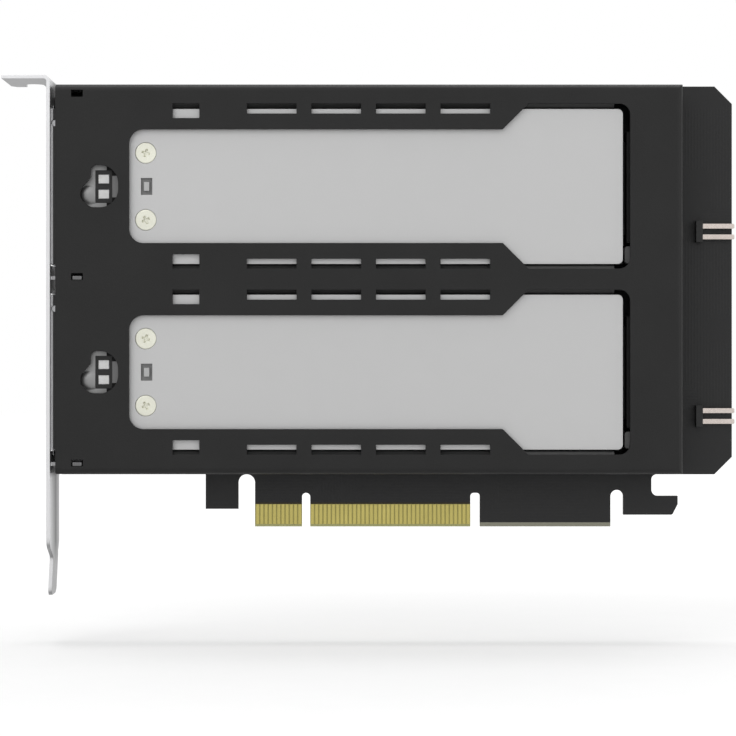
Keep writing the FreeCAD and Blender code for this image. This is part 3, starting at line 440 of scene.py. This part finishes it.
def spring_steel(look):
    """Brushed steel with painted shade: full colour on the dome and darker past the lights, with
    painted black shadow at each light frame's corner.
    """
    finish = Finish("latch_spring_steel", look.spring_colour, 0.42, metallic=1.0)
    finish.brushed(grain=0.12 * MM, detail=5.0, share=0.05, gloss=(0.34, 0.52), depth=0.003 * MM)
    corner_shadows = 0.0
    for bay in BAYS:
        low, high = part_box(f"{bay}_light_frame")
        middle = (low.z + high.z) / 2
        level = finish.math("ABSOLUTE", finish.math("SUBTRACT", finish.axis("Z"), middle))
        end = high.z - middle
        outer = finish.band(level, end - SPRING_SHADOW_CORNER, end + 2 * SPRING_SHADOW_CORNER)
        corner_shadows = finish.math("MAXIMUM", outer, corner_shadows)
    # Both frames stand at the same X, so the last one's ends serve for both springs
    # Painted shade: the steel darkens from the dome towards the light frames' far side
    painted_shade_along = finish.between(finish.axis("X"), high.x, low.x)
    finish.set_colour(finish.shaded(painted_shade_along, 0.55, 1.0))
    # Painted shadow: black near each light frame's upper and lower end, at its far side
    past = finish.math("GREATER_THAN", finish.axis("X"), high.x - SPRING_SHADOW_CORNER)
    finish.paint_over(finish.math("MULTIPLY", corner_shadows, past), CORNER_SHADOW)
    return finish.material


def sheared_steel(look):
    """Satin steel sheet, brushed along the blade, with painted shade and painted reflection on its
    inner face, painted shade on the lugs, and lighter edges: bright sheared metal with a painted
    highlight.
    """
    finish = Finish("bracket_steel", look.bracket_colour, 0.36, metallic=1.0)
    finish.brushed(grain=0.15 * MM, detail=5.0, share=0.02, gloss=(0.28, 0.46), depth=0.003 * MM)
    sheet = finish.shaded(finish.noise(9 * MM), 0.94, 1.06)

    # Painted shade and painted reflection on the inner face: darkest at one place across the width,
    # lighter away from it, and fading out towards the tongue
    low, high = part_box("bracket")
    width = high.y - low.y
    across = finish.math("SUBTRACT", finish.axis("Y"), high.y - DARKEST_ACROSS * width)
    level = finish.between(finish.math("ABSOLUTE", across), 0.0, BRIGHTEST_ACROSS * width)
    inside = finish.shaded(level, 0.15, 1.9)
    inward = finish.math("GREATER_THAN", finish.axis("X", finish.facing), 0.9)
    above_tongue = finish.between(finish.axis("Z"), *TONGUE_FADE)
    body = finish.mixed(finish.math("MULTIPLY", inward, above_tongue), sheet, inside)

    # Painted highlight: the blade's edges facing front and back are lighter, on top of the bright
    # sheared metal
    blade_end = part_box("main_board")[0].x - BLADE_GAP
    blade = finish.math("LESS_THAN", finish.axis("X"), blade_end)
    sheared = finish.math("MULTIPLY", blade, finish.facing_front_or_back(0.80, 0.95))
    finish.set_colour(finish.mixed(sheared, body, look.sheared_edge_highlight_colour))

    # Painted shade on the lugs under the cage, near its front
    cage_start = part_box("cage")[0]
    under_cage = finish.math("GREATER_THAN", finish.axis("X"), cage_start.x)
    near_front = finish.math("LESS_THAN", finish.axis("Y"), cage_start.y + LUG_SHADE_DEPTH)
    finish.paint_over(finish.math("MULTIPLY", under_cage, near_front), finish.shade(0.42))
    return finish.material


def blasted_aluminium(look):
    """Bead-blasted and anodised aluminium, even and silky, with painted shade over its machined
    key, darker where the groove is deeper.
    """
    finish = Finish("blasted_aluminium", look.cover_colour, 0.52, metallic=0.85)
    finish.speckled(grain=0.16 * MM, spread=0.03, depth=0.006 * MM, rough_spread=0.05,
                    cloudiness=0.1)
    keys = 0.0
    for bay in BAYS:
        low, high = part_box(f"{bay}_cover")
        middle = (low.z + high.z) / 2
        start = low.x + KEY_INSET - KEY_WIDTH / 2
        along = finish.band(finish.axis("X"), start, start + KEY_WIDTH)
        upright = finish.band(finish.axis("Z"), middle - KEY_LENGTH / 2, middle + KEY_LENGTH / 2)
        keys = finish.math("MAXIMUM", finish.math("MULTIPLY", along, upright), keys)
    # Both covers' faces stand at the same Y, so the last one's serves for both keys
    shallow, deep = (low.y + depth for depth in KEY_GROOVE)
    # Painted shade over the keys: a little on the face, more the deeper the groove
    groove_shade = finish.between(finish.axis("Y"), shallow, deep, 0.20, 0.62)
    finish.paint_over(finish.math("MULTIPLY", keys, groove_shade), KEY_GROOVE_SHADE)
    return finish.material


def metal_faced(look):
    """A bezel's metal face on its black moulded body."""
    finish = Finish("bezel_metal", look.bezel_colour, 0.46, metallic=0.85)
    finish.speckled(grain=0.25 * MM, spread=0.07, depth=0.004 * MM, rough_spread=0.07)
    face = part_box("upper_bezel")[0].x + BEZEL_FACE
    moulding = finish.between(finish.axis("X"), face - FACE_BLEND, face + FACE_BLEND)
    finish.paint_over(moulding, look.plastic_colour)
    finish.set_input("Metallic", finish.between(moulding, 0.0, 1.0, 0.85, 0.0))
    return finish.material


def machined(name, colour, roughness, metallic=1.0):
    """Small turned or headed metal parts, with a faint grain."""
    finish = Finish(name, colour, roughness, metallic=metallic)
    finish.speckled(grain=0.25 * MM, spread=0.07, depth=0.004 * MM, rough_spread=0.07)
    return finish.material


def moulded(name, colour, roughness=0.55, grain=0.22 * MM):
    """Moulded plastic with the fine spark-eroded grain of its tool."""
    finish = Finish(name, colour, roughness, specular=0.35)
    return finish.speckled(grain, spread=0.12, depth=0.012 * MM).material


def capped(name, colour, direction, caps):
    """A chip part that is tinned at its ends, which are spans along one direction."""
    finish = Finish(name, colour, 0.42)
    along = finish.axis(direction)
    tinned = 0.0
    for low, high in caps:
        tinned = finish.math("MAXIMUM", finish.band(along, low, high), tinned)
    grains = finish.noise(0.2 * MM)
    body = finish.shaded(grains, 0.86, 1.12)
    metal = finish.mixed(grains, tuple(0.9 * c for c in TIN), TIN)
    finish.set_colour(finish.mixed(tinned, body, metal))
    finish.set_input("Metallic", tinned)
    finish.set_bump(grains, 0.01 * MM)
    return finish.material


def frosted(look):
    """The clear light pipes' frosted ends."""
    finish = Finish("frosted_light_pipe", look.pipe_colour, 0.38)
    finish.set_input("Transmission Weight", 0.1)
    finish.set_input("Subsurface Weight", 0.25)
    finish.set_input("Subsurface Radius", (0.8 * MM, 0.8 * MM, 0.7 * MM))
    finish.set_input("Subsurface Scale", 1.0)
    grains = finish.noise(0.15 * MM)
    finish.set_colour(finish.shaded(grains, 0.94, 1.05))
    finish.vary_roughness(grains, 0.30, 0.46)
    finish.set_bump(grains, 0.008 * MM)
    return finish.material


def soft_pad(look):
    """The soft pad between a drive and its cover."""
    finish = Finish("soft_pad", look.pad_colour, 0.8, specular=0.25)
    return finish.speckled(grain=0.6 * MM, spread=0.10, depth=0.03 * MM).material


# Screws, modelled once with their head upwards at the origin
def looks_up(face):
    return face.normal.z > LEVEL_NORMAL


def looks_down(face):
    return face.normal.z < -LEVEL_NORMAL


def looks_aside(face):
    return abs(face.normal.z) < UPRIGHT_NORMAL


def open_faces(piece, wanted):
    """Opens a piece for editing, with only the wanted faces selected."""
    bpy.ops.object.mode_set(mode="EDIT")
    bpy.ops.mesh.select_mode(type="FACE")
    bpy.ops.mesh.select_all(action="DESELECT")
    bpy.ops.object.mode_set(mode="OBJECT")
    for face in piece.data.polygons:
        face.select = wanted(face)
    bpy.ops.object.mode_set(mode="EDIT")


def cross_cutter(arm, width, depth):
    """A cross with four arms drawn out of a small block, narrower at its floor."""
    bpy.ops.object.select_all(action="DESELECT")
    bpy.ops.mesh.primitive_cube_add(size=1.0, location=(0, 0, 0))
    cutter = bpy.context.active_object
    bpy.ops.object.mode_set(mode="EDIT")
    bpy.ops.transform.resize(value=(width, width, 2 * depth), center_override=(0, 0, 0))
    bpy.ops.object.mode_set(mode="OBJECT")
    open_faces(cutter, looks_aside)
    bpy.ops.mesh.extrude_faces_move(TRANSFORM_OT_shrink_fatten={"value": arm - width / 2})
    bpy.ops.object.mode_set(mode="OBJECT")
    open_faces(cutter, looks_down)
    bpy.ops.transform.resize(value=(FLOOR_SHARE, FLOOR_SHARE, 1.0),
                             center_override=(0, 0, -depth))
    bpy.ops.object.mode_set(mode="OBJECT")
    return cutter


def screw_model(name, head_radius, head_height, stem_radius, stem_length, dome, sizes):
    """A headed disc with a rounded rim and a cross recess, and a stem drawn out underneath."""
    bpy.ops.object.select_all(action="DESELECT")
    bpy.ops.mesh.primitive_cylinder_add(vertices=sizes.screw_sides, radius=head_radius,
                                        depth=head_height, location=(0, 0, 0))
    screw = bpy.context.active_object
    screw.name = name
    screw.data.transform(Matrix.Translation((0, 0, -head_height / 2)))
    open_faces(screw, looks_down)
    tip = stem_radius * TIP_SHARE
    bpy.ops.mesh.inset(thickness=head_radius - stem_radius)
    bpy.ops.mesh.extrude_region_move(TRANSFORM_OT_translate={"value": (0, 0, tip - stem_length)})
    bpy.ops.mesh.inset(thickness=tip)
    bpy.ops.transform.translate(value=(0, 0, -tip))
    bpy.ops.object.mode_set(mode="OBJECT")
    open_faces(screw, looks_up)
    bpy.ops.mesh.select_mode(type="EDGE")
    bpy.ops.mesh.region_to_loop()
    bpy.ops.mesh.bevel(offset=dome, segments=RIM_SEGMENTS, profile=0.5, affect="EDGES")
    bpy.ops.object.mode_set(mode="OBJECT")
    cutter = cross_cutter(head_radius * sizes.recess_reach, head_radius * sizes.recess_width,
                          min(head_height, sizes.recess_depth))
    only(screw)
    cut = screw.modifiers.new("Cross recess", "BOOLEAN")
    cut.object = cutter
    cut.solver = "EXACT"
    apply(screw, cut)
    bpy.data.objects.remove(cutter)
    rounded(screw, sizes.small_edge)
    return screw


def set_screws(node, finish, head_height, stem_radius, dome, sizes, facing):
    """Sets a screw in each place of a node, its head towards the front (-1) or the back (1)."""
    boxes = solids_of(node)
    low, high = boxes[0]
    model = screw_model(f"{node}_model", (high.x - low.x) / 2, head_height, stem_radius,
                        high.y - low.y - head_height, dome, sizes)
    copies = []
    turn = Matrix.Rotation(-facing * math.pi / 2, 4, "X")
    for number, (low, high) in enumerate(boxes):
        head = low.y if facing < 0 else high.y
        place = Vector(((low.x + high.x) / 2, head, (low.z + high.z) / 2))
        spin = Matrix.Rotation(FIRST_TURN + number * NEXT_TURN, 4, "Z")
        copy = new_piece(node, model.data.copy())
        copy.data.transform(Matrix.Translation(place) @ turn @ spin)
        copies.append(copy)
    bpy.ops.object.select_all(action="DESELECT")
    for copy in copies:
        copy.select_set(True)
    bpy.context.view_layer.objects.active = copies[0]
    bpy.ops.object.join()
    bpy.data.objects.remove(model)
    return dressed(copies[0], node, finish)


# Settings
def colour_property(name, description, default):
    return FloatVectorProperty(name=name, description=description, default=default,
                               subtype="COLOR", size=3, min=0.0, max=1.0)


def length_property(name, description, default):
    return FloatProperty(name=name, description=description, default=default, min=0.0,
                         unit="LENGTH", subtype="DISTANCE")


def place_property(name, description, default):
    return FloatProperty(name=name, description=description, default=default, unit="LENGTH",
                         subtype="DISTANCE")


def share_property(name, description, default):
    return FloatProperty(name=name, description=description, default=default, min=0.05, max=0.9,
                         subtype="FACTOR")


def power_property(name, description, default):
    return FloatProperty(name=name, description=description, default=default, min=0.0,
                         unit="POWER")


class AdapterCardLook(bpy.types.PropertyGroup):
    """Colours of the card's finishes."""

    cage_colour: colour_property(
        "Cage", "Powder coat of the sheet-metal cage", (0.0094, 0.0094, 0.0094))
    board_colour: colour_property(
        "Board", "Solder mask of the circuit board", (0.0118, 0.0118, 0.0122))
    gold_colour: colour_property(
        "Contacts", "Gold of the card edge", (0.515, 0.446, 0.143))
    bracket_colour: colour_property(
        "Bracket", "Steel of the slot bracket", (0.36, 0.36, 0.365))
    # Lighter edges: bright sheared metal with a painted highlight
    sheared_edge_highlight_colour: colour_property(
        "Sheared edges", "Bright edges of the bracket's sheet", (0.71, 0.71, 0.72))
    bezel_colour: colour_property(
        "Bezel faces", "Metal faces of the trays' bezels", (0.56, 0.56, 0.57))
    cover_colour: colour_property(
        "Covers", "Blasted aluminium of the tray covers", (0.508, 0.508, 0.508))
    cover_screw_colour: colour_property(
        "Cover screws", "Pale plating of the cover screws", (0.75, 0.75, 0.65))
    pipe_colour: colour_property(
        "Light pipes", "Frosted ends of the light pipes", (0.76, 0.76, 0.75))
    spring_colour: colour_property(
        "Latch springs", "Steel of the latch springs", (0.27, 0.27, 0.27))
    plastic_colour: colour_property(
        "Plastic", "Moulded carriers, light frames and bezel bodies", (0.012, 0.012, 0.012))
    pin_colour: colour_property(
        "Header pins", "Plated copper of the header pins", (0.62, 0.55, 0.51))
    pad_colour: colour_property(
        "Pads", "Soft pads under the covers", (0.26, 0.30, 0.35))


class AdapterCardSizes(bpy.types.PropertyGroup):
    """Edge roundings and screw details."""

    sheet_edge: length_property(
        "Sheet edges", "Rounding on the edges of the cage, the bracket and the covers", 0.10 * MM)
    board_edge: length_property(
        "Board edges", "Rounding on the circuit boards' edges", 0.04 * MM)
    plastic_edge: length_property(
        "Plastic edges", "Rounding on moulded edges", 0.12 * MM)
    small_edge: length_property(
        "Small edges", "Rounding on chips, pins and contacts", 0.03 * MM)
    head_height: length_property(
        "Cover screw head", "Height of a cover screw's head", 0.8 * MM)
    head_dome: length_property(
        "Cover screw rim", "Rounding on a cover screw's rim", 0.25 * MM)
    pan_height: length_property(
        "Board screw head", "Height of a board screw's head", 1.5 * MM)
    pan_dome: length_property(
        "Board screw rim", "Rounding on a board screw's rim", 0.75 * MM)
    cover_stem: length_property(
        "Cover screw stem", "Radius of a cover screw's stem", 0.98 * MM)
    board_stem: length_property(
        "Board screw stem", "Radius of a board screw's stem", 1.23 * MM)
    recess_depth: length_property(
        "Recess depth", "Depth of the screws' cross recess", 0.70 * MM)
    recess_reach: share_property(
        "Recess reach", "Arm of the cross as a share of the head's radius", 0.52)
    recess_width: share_property(
        "Recess width", "Width of the cross as a share of the head's radius", 0.30)
    screw_sides: IntProperty(
        name="Screw sides", description="Facets round a screw head", default=48, min=12, max=96)


class AdapterCardStage(bpy.types.PropertyGroup):
    """Camera, floor and lights."""

    camera_distance: length_property(
        "Camera distance", "From the lens to the cage's front face", 0.5977)
    camera_x: place_property(
        "Camera X", "Where the lens stands along the card", 0.0147)
    camera_z: place_property(
        "Camera height", "The lens's height above the card edge", 0.03765)
    focal_length: FloatProperty(
        name="Focal length", description="Lens on a 36 mm sensor, in millimetres",
        default=126.0, min=10.0, subtype="DISTANCE_CAMERA")
    floor_colour: colour_property(
        "Floor", "Paint of the studio floor", (0.80, 0.80, 0.80))
    floor_gap: place_property(
        "Floor gap", "How far the card hangs over the floor", 11.5 * MM)
    room_light: FloatProperty(
        name="Room light", description="Brightness of the light from all round",
        default=0.70, min=0.0, max=2.0)
    key_power: power_property(
        "Key light", "Large light from the upper left", 1.75)
    fill_power: power_property(
        "Fill light", "Soft light from the right", 0.95)
    rim_power: power_property(
        "Rim light", "Light from behind and above", 1.2)
    top_power: power_property(
        "Top light", "Light straight above, whose shadow lies under the card", 4.3)


def look_of(context):
    return context.scene.adapter_card_look


def sizes_of(context):
    return context.scene.adapter_card_sizes


def stage_of(context):
    return context.scene.adapter_card_stage


# Pieces
class AdapterCardCage(bpy.types.Operator):
    """Finish the sheet-metal cage"""

    bl_idname = "adapter_card.cage"
    bl_label = "Cage"

    def execute(self, context):
        soften("cage", powder_coat(look_of(context)), sizes_of(context).sheet_edge)
        return {"FINISHED"}


class AdapterCardBoards(bpy.types.Operator):
    """Finish the main board and the trays' boards"""

    bl_idname = "adapter_card.boards"
    bl_label = "Boards"

    def execute(self, context):
        mask = solder_mask(look_of(context))
        edge = sizes_of(context).board_edge
        soften("main_board", mask, edge)
        for bay in BAYS:
            soften(f"{bay}_tray_board", mask, edge)
        return {"FINISHED"}


class AdapterCardContacts(bpy.types.Operator):
    """Finish the gold contacts of the card edge"""

    bl_idname = "adapter_card.contacts"
    bl_label = "Contacts"

    def execute(self, context):
        gold = contact_gold(look_of(context))
        soften("edge_contacts", gold, sizes_of(context).small_edge / 2, segments=1)
        return {"FINISHED"}


class AdapterCardBracket(bpy.types.Operator):
    """Finish the slot bracket"""

    bl_idname = "adapter_card.bracket"
    bl_label = "Bracket"

    def execute(self, context):
        soften("bracket", sheared_steel(look_of(context)), sizes_of(context).sheet_edge)
        return {"FINISHED"}


class AdapterCardCovers(bpy.types.Operator):
    """Finish the tray covers"""

    bl_idname = "adapter_card.covers"
    bl_label = "Covers"

    def execute(self, context):
        aluminium = blasted_aluminium(look_of(context))
        for bay in BAYS:
            soften(f"{bay}_cover", aluminium, sizes_of(context).sheet_edge)
        return {"FINISHED"}


class AdapterCardCoverScrews(bpy.types.Operator):
    """Model the pale screws that hold the tray covers"""

    bl_idname = "adapter_card.cover_screws"
    bl_label = "Cover screws"

    def execute(self, context):
        colour = look_of(context).cover_screw_colour
        plating = machined("pale_plating", colour, roughness=0.42, metallic=0.7)
        sizes = sizes_of(context)
        for bay in BAYS:
            set_screws(f"{bay}_cover_screws", plating, sizes.head_height, sizes.cover_stem,
                       sizes.head_dome, sizes, facing=-1)
        return {"FINISHED"}


class AdapterCardBoardScrews(bpy.types.Operator):
    """Model the pan-head screws on the back of the board"""

    bl_idname = "adapter_card.board_screws"
    bl_label = "Board screws"

    def execute(self, context):
        plating = machined("black_plating", BLACK_PLATING, roughness=0.38)
        sizes = sizes_of(context)
        set_screws("board_screws", plating, sizes.pan_height, sizes.board_stem,
                   sizes.pan_dome, sizes, facing=1)
        return {"FINISHED"}


class AdapterCardTrays(bpy.types.Operator):
    """Finish the trays' moulded parts, the rails and the levers"""

    bl_idname = "adapter_card.trays"
    bl_label = "Trays"

    def execute(self, context):
        edge = sizes_of(context).plastic_edge
        tray = moulded("tray_plastic", look_of(context).plastic_colour)
        bezel = metal_faced(look_of(context))
        rail = moulded("rail_plastic", RAIL_PLASTIC, roughness=0.46)
        lever = moulded("lever_plastic", LEVER_PLASTIC, roughness=0.50, grain=0.30 * MM)
        for node in ("top_rail", "centre_rail", "bottom_rail"):
            soften(node, rail, edge)
        for bay in BAYS:
            soften(f"{bay}_carrier", tray, edge)
            soften(f"{bay}_bezel", bezel, edge, segments=3)
            soften(f"{bay}_eject_lever", lever, edge, segments=3)
            soften(f"{bay}_light_frame", tray, edge / 2)
        return {"FINISHED"}


class AdapterCardSmallMetal(bpy.types.Operator):
    """Finish the latch springs, lever pins and drive standoffs"""

    bl_idname = "adapter_card.small_metal"
    bl_label = "Small metal parts"

    def execute(self, context):
        edge = sizes_of(context).small_edge
        spring = spring_steel(look_of(context))
        pin = machined("lever_pin_steel", PIN_STEEL, roughness=0.30)
        nickel = machined("standoff_nickel", STANDOFF_NICKEL, roughness=0.30)
        for bay in BAYS:
            soften(f"{bay}_latch_spring", spring, edge)
            soften(f"{bay}_lever_pin", pin, edge)
            soften(f"{bay}_drive_standoff", nickel, edge)
        return {"FINISHED"}


class AdapterCardLights(bpy.types.Operator):
    """Finish the light pipes, the lights and the soft pads"""

    bl_idname = "adapter_card.lights"
    bl_label = "Lights and pads"

    def execute(self, context):
        edge = sizes_of(context).small_edge
        pipe = frosted(look_of(context))
        pad = soft_pad(look_of(context))
        lamp = moulded("chip_light", CHIP_LIGHT, roughness=0.35, grain=0.2 * MM)
        for bay in BAYS:
            soften(f"{bay}_light_pipes", pipe, edge * 3)
            soften(f"{bay}_chip_lights", lamp, edge)
            soften(f"{bay}_thermal_pad", pad, edge * 4)
        return {"FINISHED"}


class AdapterCardConnectors(bpy.types.Operator):
    """Finish the pin headers, receptacles, stop posts and drive sockets"""

    bl_idname = "adapter_card.connectors"
    bl_label = "Connectors"

    def execute(self, context):
        edge = sizes_of(context).small_edge
        plastic = moulded("connector_plastic", CONNECTOR_PLASTIC, roughness=0.40)
        stop = moulded("stop_plastic", STOP_PLASTIC, roughness=0.50)
        copper = machined("header_pin_copper", look_of(context).pin_colour, roughness=0.32)
        for bay in BAYS:
            soften(f"{bay}_header_pins", copper, edge)
            soften(f"{bay}_header_body", plastic, edge * 2)
            soften(f"{bay}_receptacle", plastic, edge * 2)
            soften(f"{bay}_stop_post", stop, edge * 3)
            soften(f"{bay}_drive_socket", plastic, edge * 2)
        return {"FINISHED"}


class AdapterCardChips(bpy.types.Operator):
    """Finish the chips, coils and capacitors on the board"""

    bl_idname = "adapter_card.chips"
    bl_label = "Chips"

    def execute(self, context):
        edge = sizes_of(context).small_edge
        package = moulded("chip_package", CHIP_PACKAGE, roughness=0.50)
        coil = moulded("coil_ferrite", COIL_FERRITE, roughness=0.60)
        soften("clock_chip", package, edge)
        soften("power_regulators", package, edge)
        soften("power_inductors", coil, edge * 2)
        ends = [corner.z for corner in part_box("coupling_capacitors")]
        caps = [(end - COUPLING_CAP, end + COUPLING_CAP) for end in ends]
        small = capped("coupling_ceramic", COUPLING_CERAMIC, "Z", caps)
        soften("coupling_capacitors", small, edge)
        # Both bays' capacitors stand at the same places along X, which are taken once
        ends = [corner.x for box in solids_of("power_capacitors") for corner in box]
        caps = {(round(end - POWER_CAP, 6), round(end + POWER_CAP, 6)) for end in ends}
        large = capped("power_ceramic", POWER_CERAMIC, "X", sorted(caps))
        soften("power_capacitors", large, edge)
        return {"FINISHED"}


# Stage
def area_light(name, place, size, power, target):
    """A round lamp that looks at its target."""
    data = bpy.data.lights.new(name, "AREA")
    data.shape = "DISK"
    data.size = size
    data.energy = power
    light = bpy.data.objects.new(name, data)
    bpy.context.scene.collection.objects.link(light)
    light.location = place
    light.rotation_euler = (Vector(target) - Vector(place)).to_track_quat("-Z", "Y").to_euler()


def light_room(strength):
    """A plain room that lights the card evenly, and looks white to the camera and in metal."""
    world = bpy.data.worlds.new("studio_room")
    bpy.context.scene.world = world
    world.use_nodes = True
    tree = world.node_tree
    background = tree.nodes["Background"]
    background.inputs["Color"].default_value = (*WHITE, 1.0)
    rays = tree.nodes.new("ShaderNodeLightPath").outputs
    seen = rays["Is Camera Ray"]
    for name in ("Is Glossy Ray", "Is Transmission Ray"):
        either = tree.nodes.new("ShaderNodeMath")
        either.operation = "MAXIMUM"
        tree.links.new(seen, either.inputs[0])
        tree.links.new(rays[name], either.inputs[1])
        seen = either.outputs["Value"]
    level = tree.nodes.new("ShaderNodeMapRange")
    level.inputs["To Min"].default_value = strength
    level.inputs["To Max"].default_value = 1.0
    tree.links.new(seen, level.inputs["Value"])
    tree.links.new(level.outputs["Result"], background.inputs["Strength"])


def floor_paint(colour, middle):
    """White studio paint that keeps shadows, and looks white where it has none."""
    finish = Finish("studio_floor", colour, 0.9, specular=0.0)
    finish.set_colour(finish.shaded(finish.noise(8 * MM), 0.99, 1.01))
    seen = finish.add("ShaderNodeLightPath").outputs["Is Camera Ray"]
    away = finish.add("ShaderNodeVectorMath", {0: finish.place, 1: middle}, operation="DISTANCE")
    missing = finish.between(away.outputs["Value"], *GLOW_REACH, *GLOW_LEVEL)
    strength = finish.math("MULTIPLY", seen, missing)
    glow = finish.add("ShaderNodeEmission", {"Color": WHITE, "Strength": strength})
    both = finish.add("ShaderNodeAddShader",
                      {0: finish.shader.outputs["BSDF"], 1: glow.outputs["Emission"]})
    finish.feed(finish.tree.nodes["Material Output"].inputs["Surface"], both.outputs["Shader"])
    return finish.material


class AdapterCardStageSet(bpy.types.Operator):
    """Set up the floor, the lights and the camera"""

    bl_idname = "adapter_card.stage"
    bl_label = "Stage"

    def execute(self, context):
        stage = stage_of(context)
        low, high = CAD_BOX
        middle = (low + high) / 2
        bpy.ops.object.select_all(action="DESELECT")
        bpy.ops.mesh.primitive_plane_add(size=FLOOR_SIZE, location=(0, 0, 0))
        floor = context.active_object
        floor.name = "studio_floor"
        floor_place = (middle.x, middle.y, low.z - stage.floor_gap)
        floor.data.transform(Matrix.Translation(floor_place))
        floor.data.materials.append(floor_paint(stage.floor_colour, middle))

        light_room(stage.room_light)
        for name, place, size, power in (
            ("key_light", (-0.42, -0.75, 0.60), 0.70, stage.key_power),
            ("fill_light", (0.60, -0.60, 0.10), 0.60, stage.fill_power),
            ("rim_light", (0.25, 0.70, 0.65), 0.60, stage.rim_power),
            ("top_light", (middle.x, middle.y, 1.10), 0.72, stage.top_power),
        ):
            area_light(name, place, size, power, middle)

        data = bpy.data.cameras.new("photo_camera")
        data.sensor_width = 36.0
        data.lens = stage.focal_length
        camera = bpy.data.objects.new("photo_camera", data)
        context.scene.collection.objects.link(camera)
        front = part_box("cage")[0].y
        camera.location = (stage.camera_x, front - stage.camera_distance, stage.camera_z)
        camera.rotation_euler = (math.pi / 2, 0, 0)
        context.scene.camera = camera
        context.scene.view_settings.view_transform = "Standard"
        return {"FINISHED"}


PIECE_OPERATORS = (
    AdapterCardCage,
    AdapterCardBoards,
    AdapterCardContacts,
    AdapterCardBracket,
    AdapterCardCovers,
    AdapterCardCoverScrews,
    AdapterCardBoardScrews,
    AdapterCardTrays,
    AdapterCardSmallMetal,
    AdapterCardLights,
    AdapterCardConnectors,
    AdapterCardChips,
    AdapterCardStageSet,
)


class AdapterCardPanel(bpy.types.Panel):
    """Lists the card's pieces and settings"""

    bl_idname = "VIEW3D_PT_adapter_card"
    bl_label = "Adapter Card"
    bl_space_type = "VIEW_3D"
    bl_region_type = "UI"
    bl_category = "Adapter Card"

    def draw(self, context):
        for operator in PIECE_OPERATORS:
            self.layout.operator(operator.bl_idname)
        for group in (look_of(context), sizes_of(context), stage_of(context)):
            box = self.layout.box()
            for name in group.bl_rna.properties.keys():
                if name not in ("rna_type", "name"):
                    box.prop(group, name)


CLASSES = (AdapterCardLook, AdapterCardSizes, AdapterCardStage, *PIECE_OPERATORS, AdapterCardPanel)


def register():
    for cls in CLASSES:
        bpy.utils.register_class(cls)
    bpy.types.Scene.adapter_card_look = PointerProperty(type=AdapterCardLook)
    bpy.types.Scene.adapter_card_sizes = PointerProperty(type=AdapterCardSizes)
    bpy.types.Scene.adapter_card_stage = PointerProperty(type=AdapterCardStage)


def unregister():
    del bpy.types.Scene.adapter_card_stage
    del bpy.types.Scene.adapter_card_sizes
    del bpy.types.Scene.adapter_card_look
    for cls in reversed(CLASSES):
        bpy.utils.unregister_class(cls)


def main():
    register()
    for operator in PIECE_OPERATORS:
        group, name = operator.bl_idname.split(".")
        getattr(getattr(bpy.ops, group), name)()


if __name__ == "__main__":
    main()
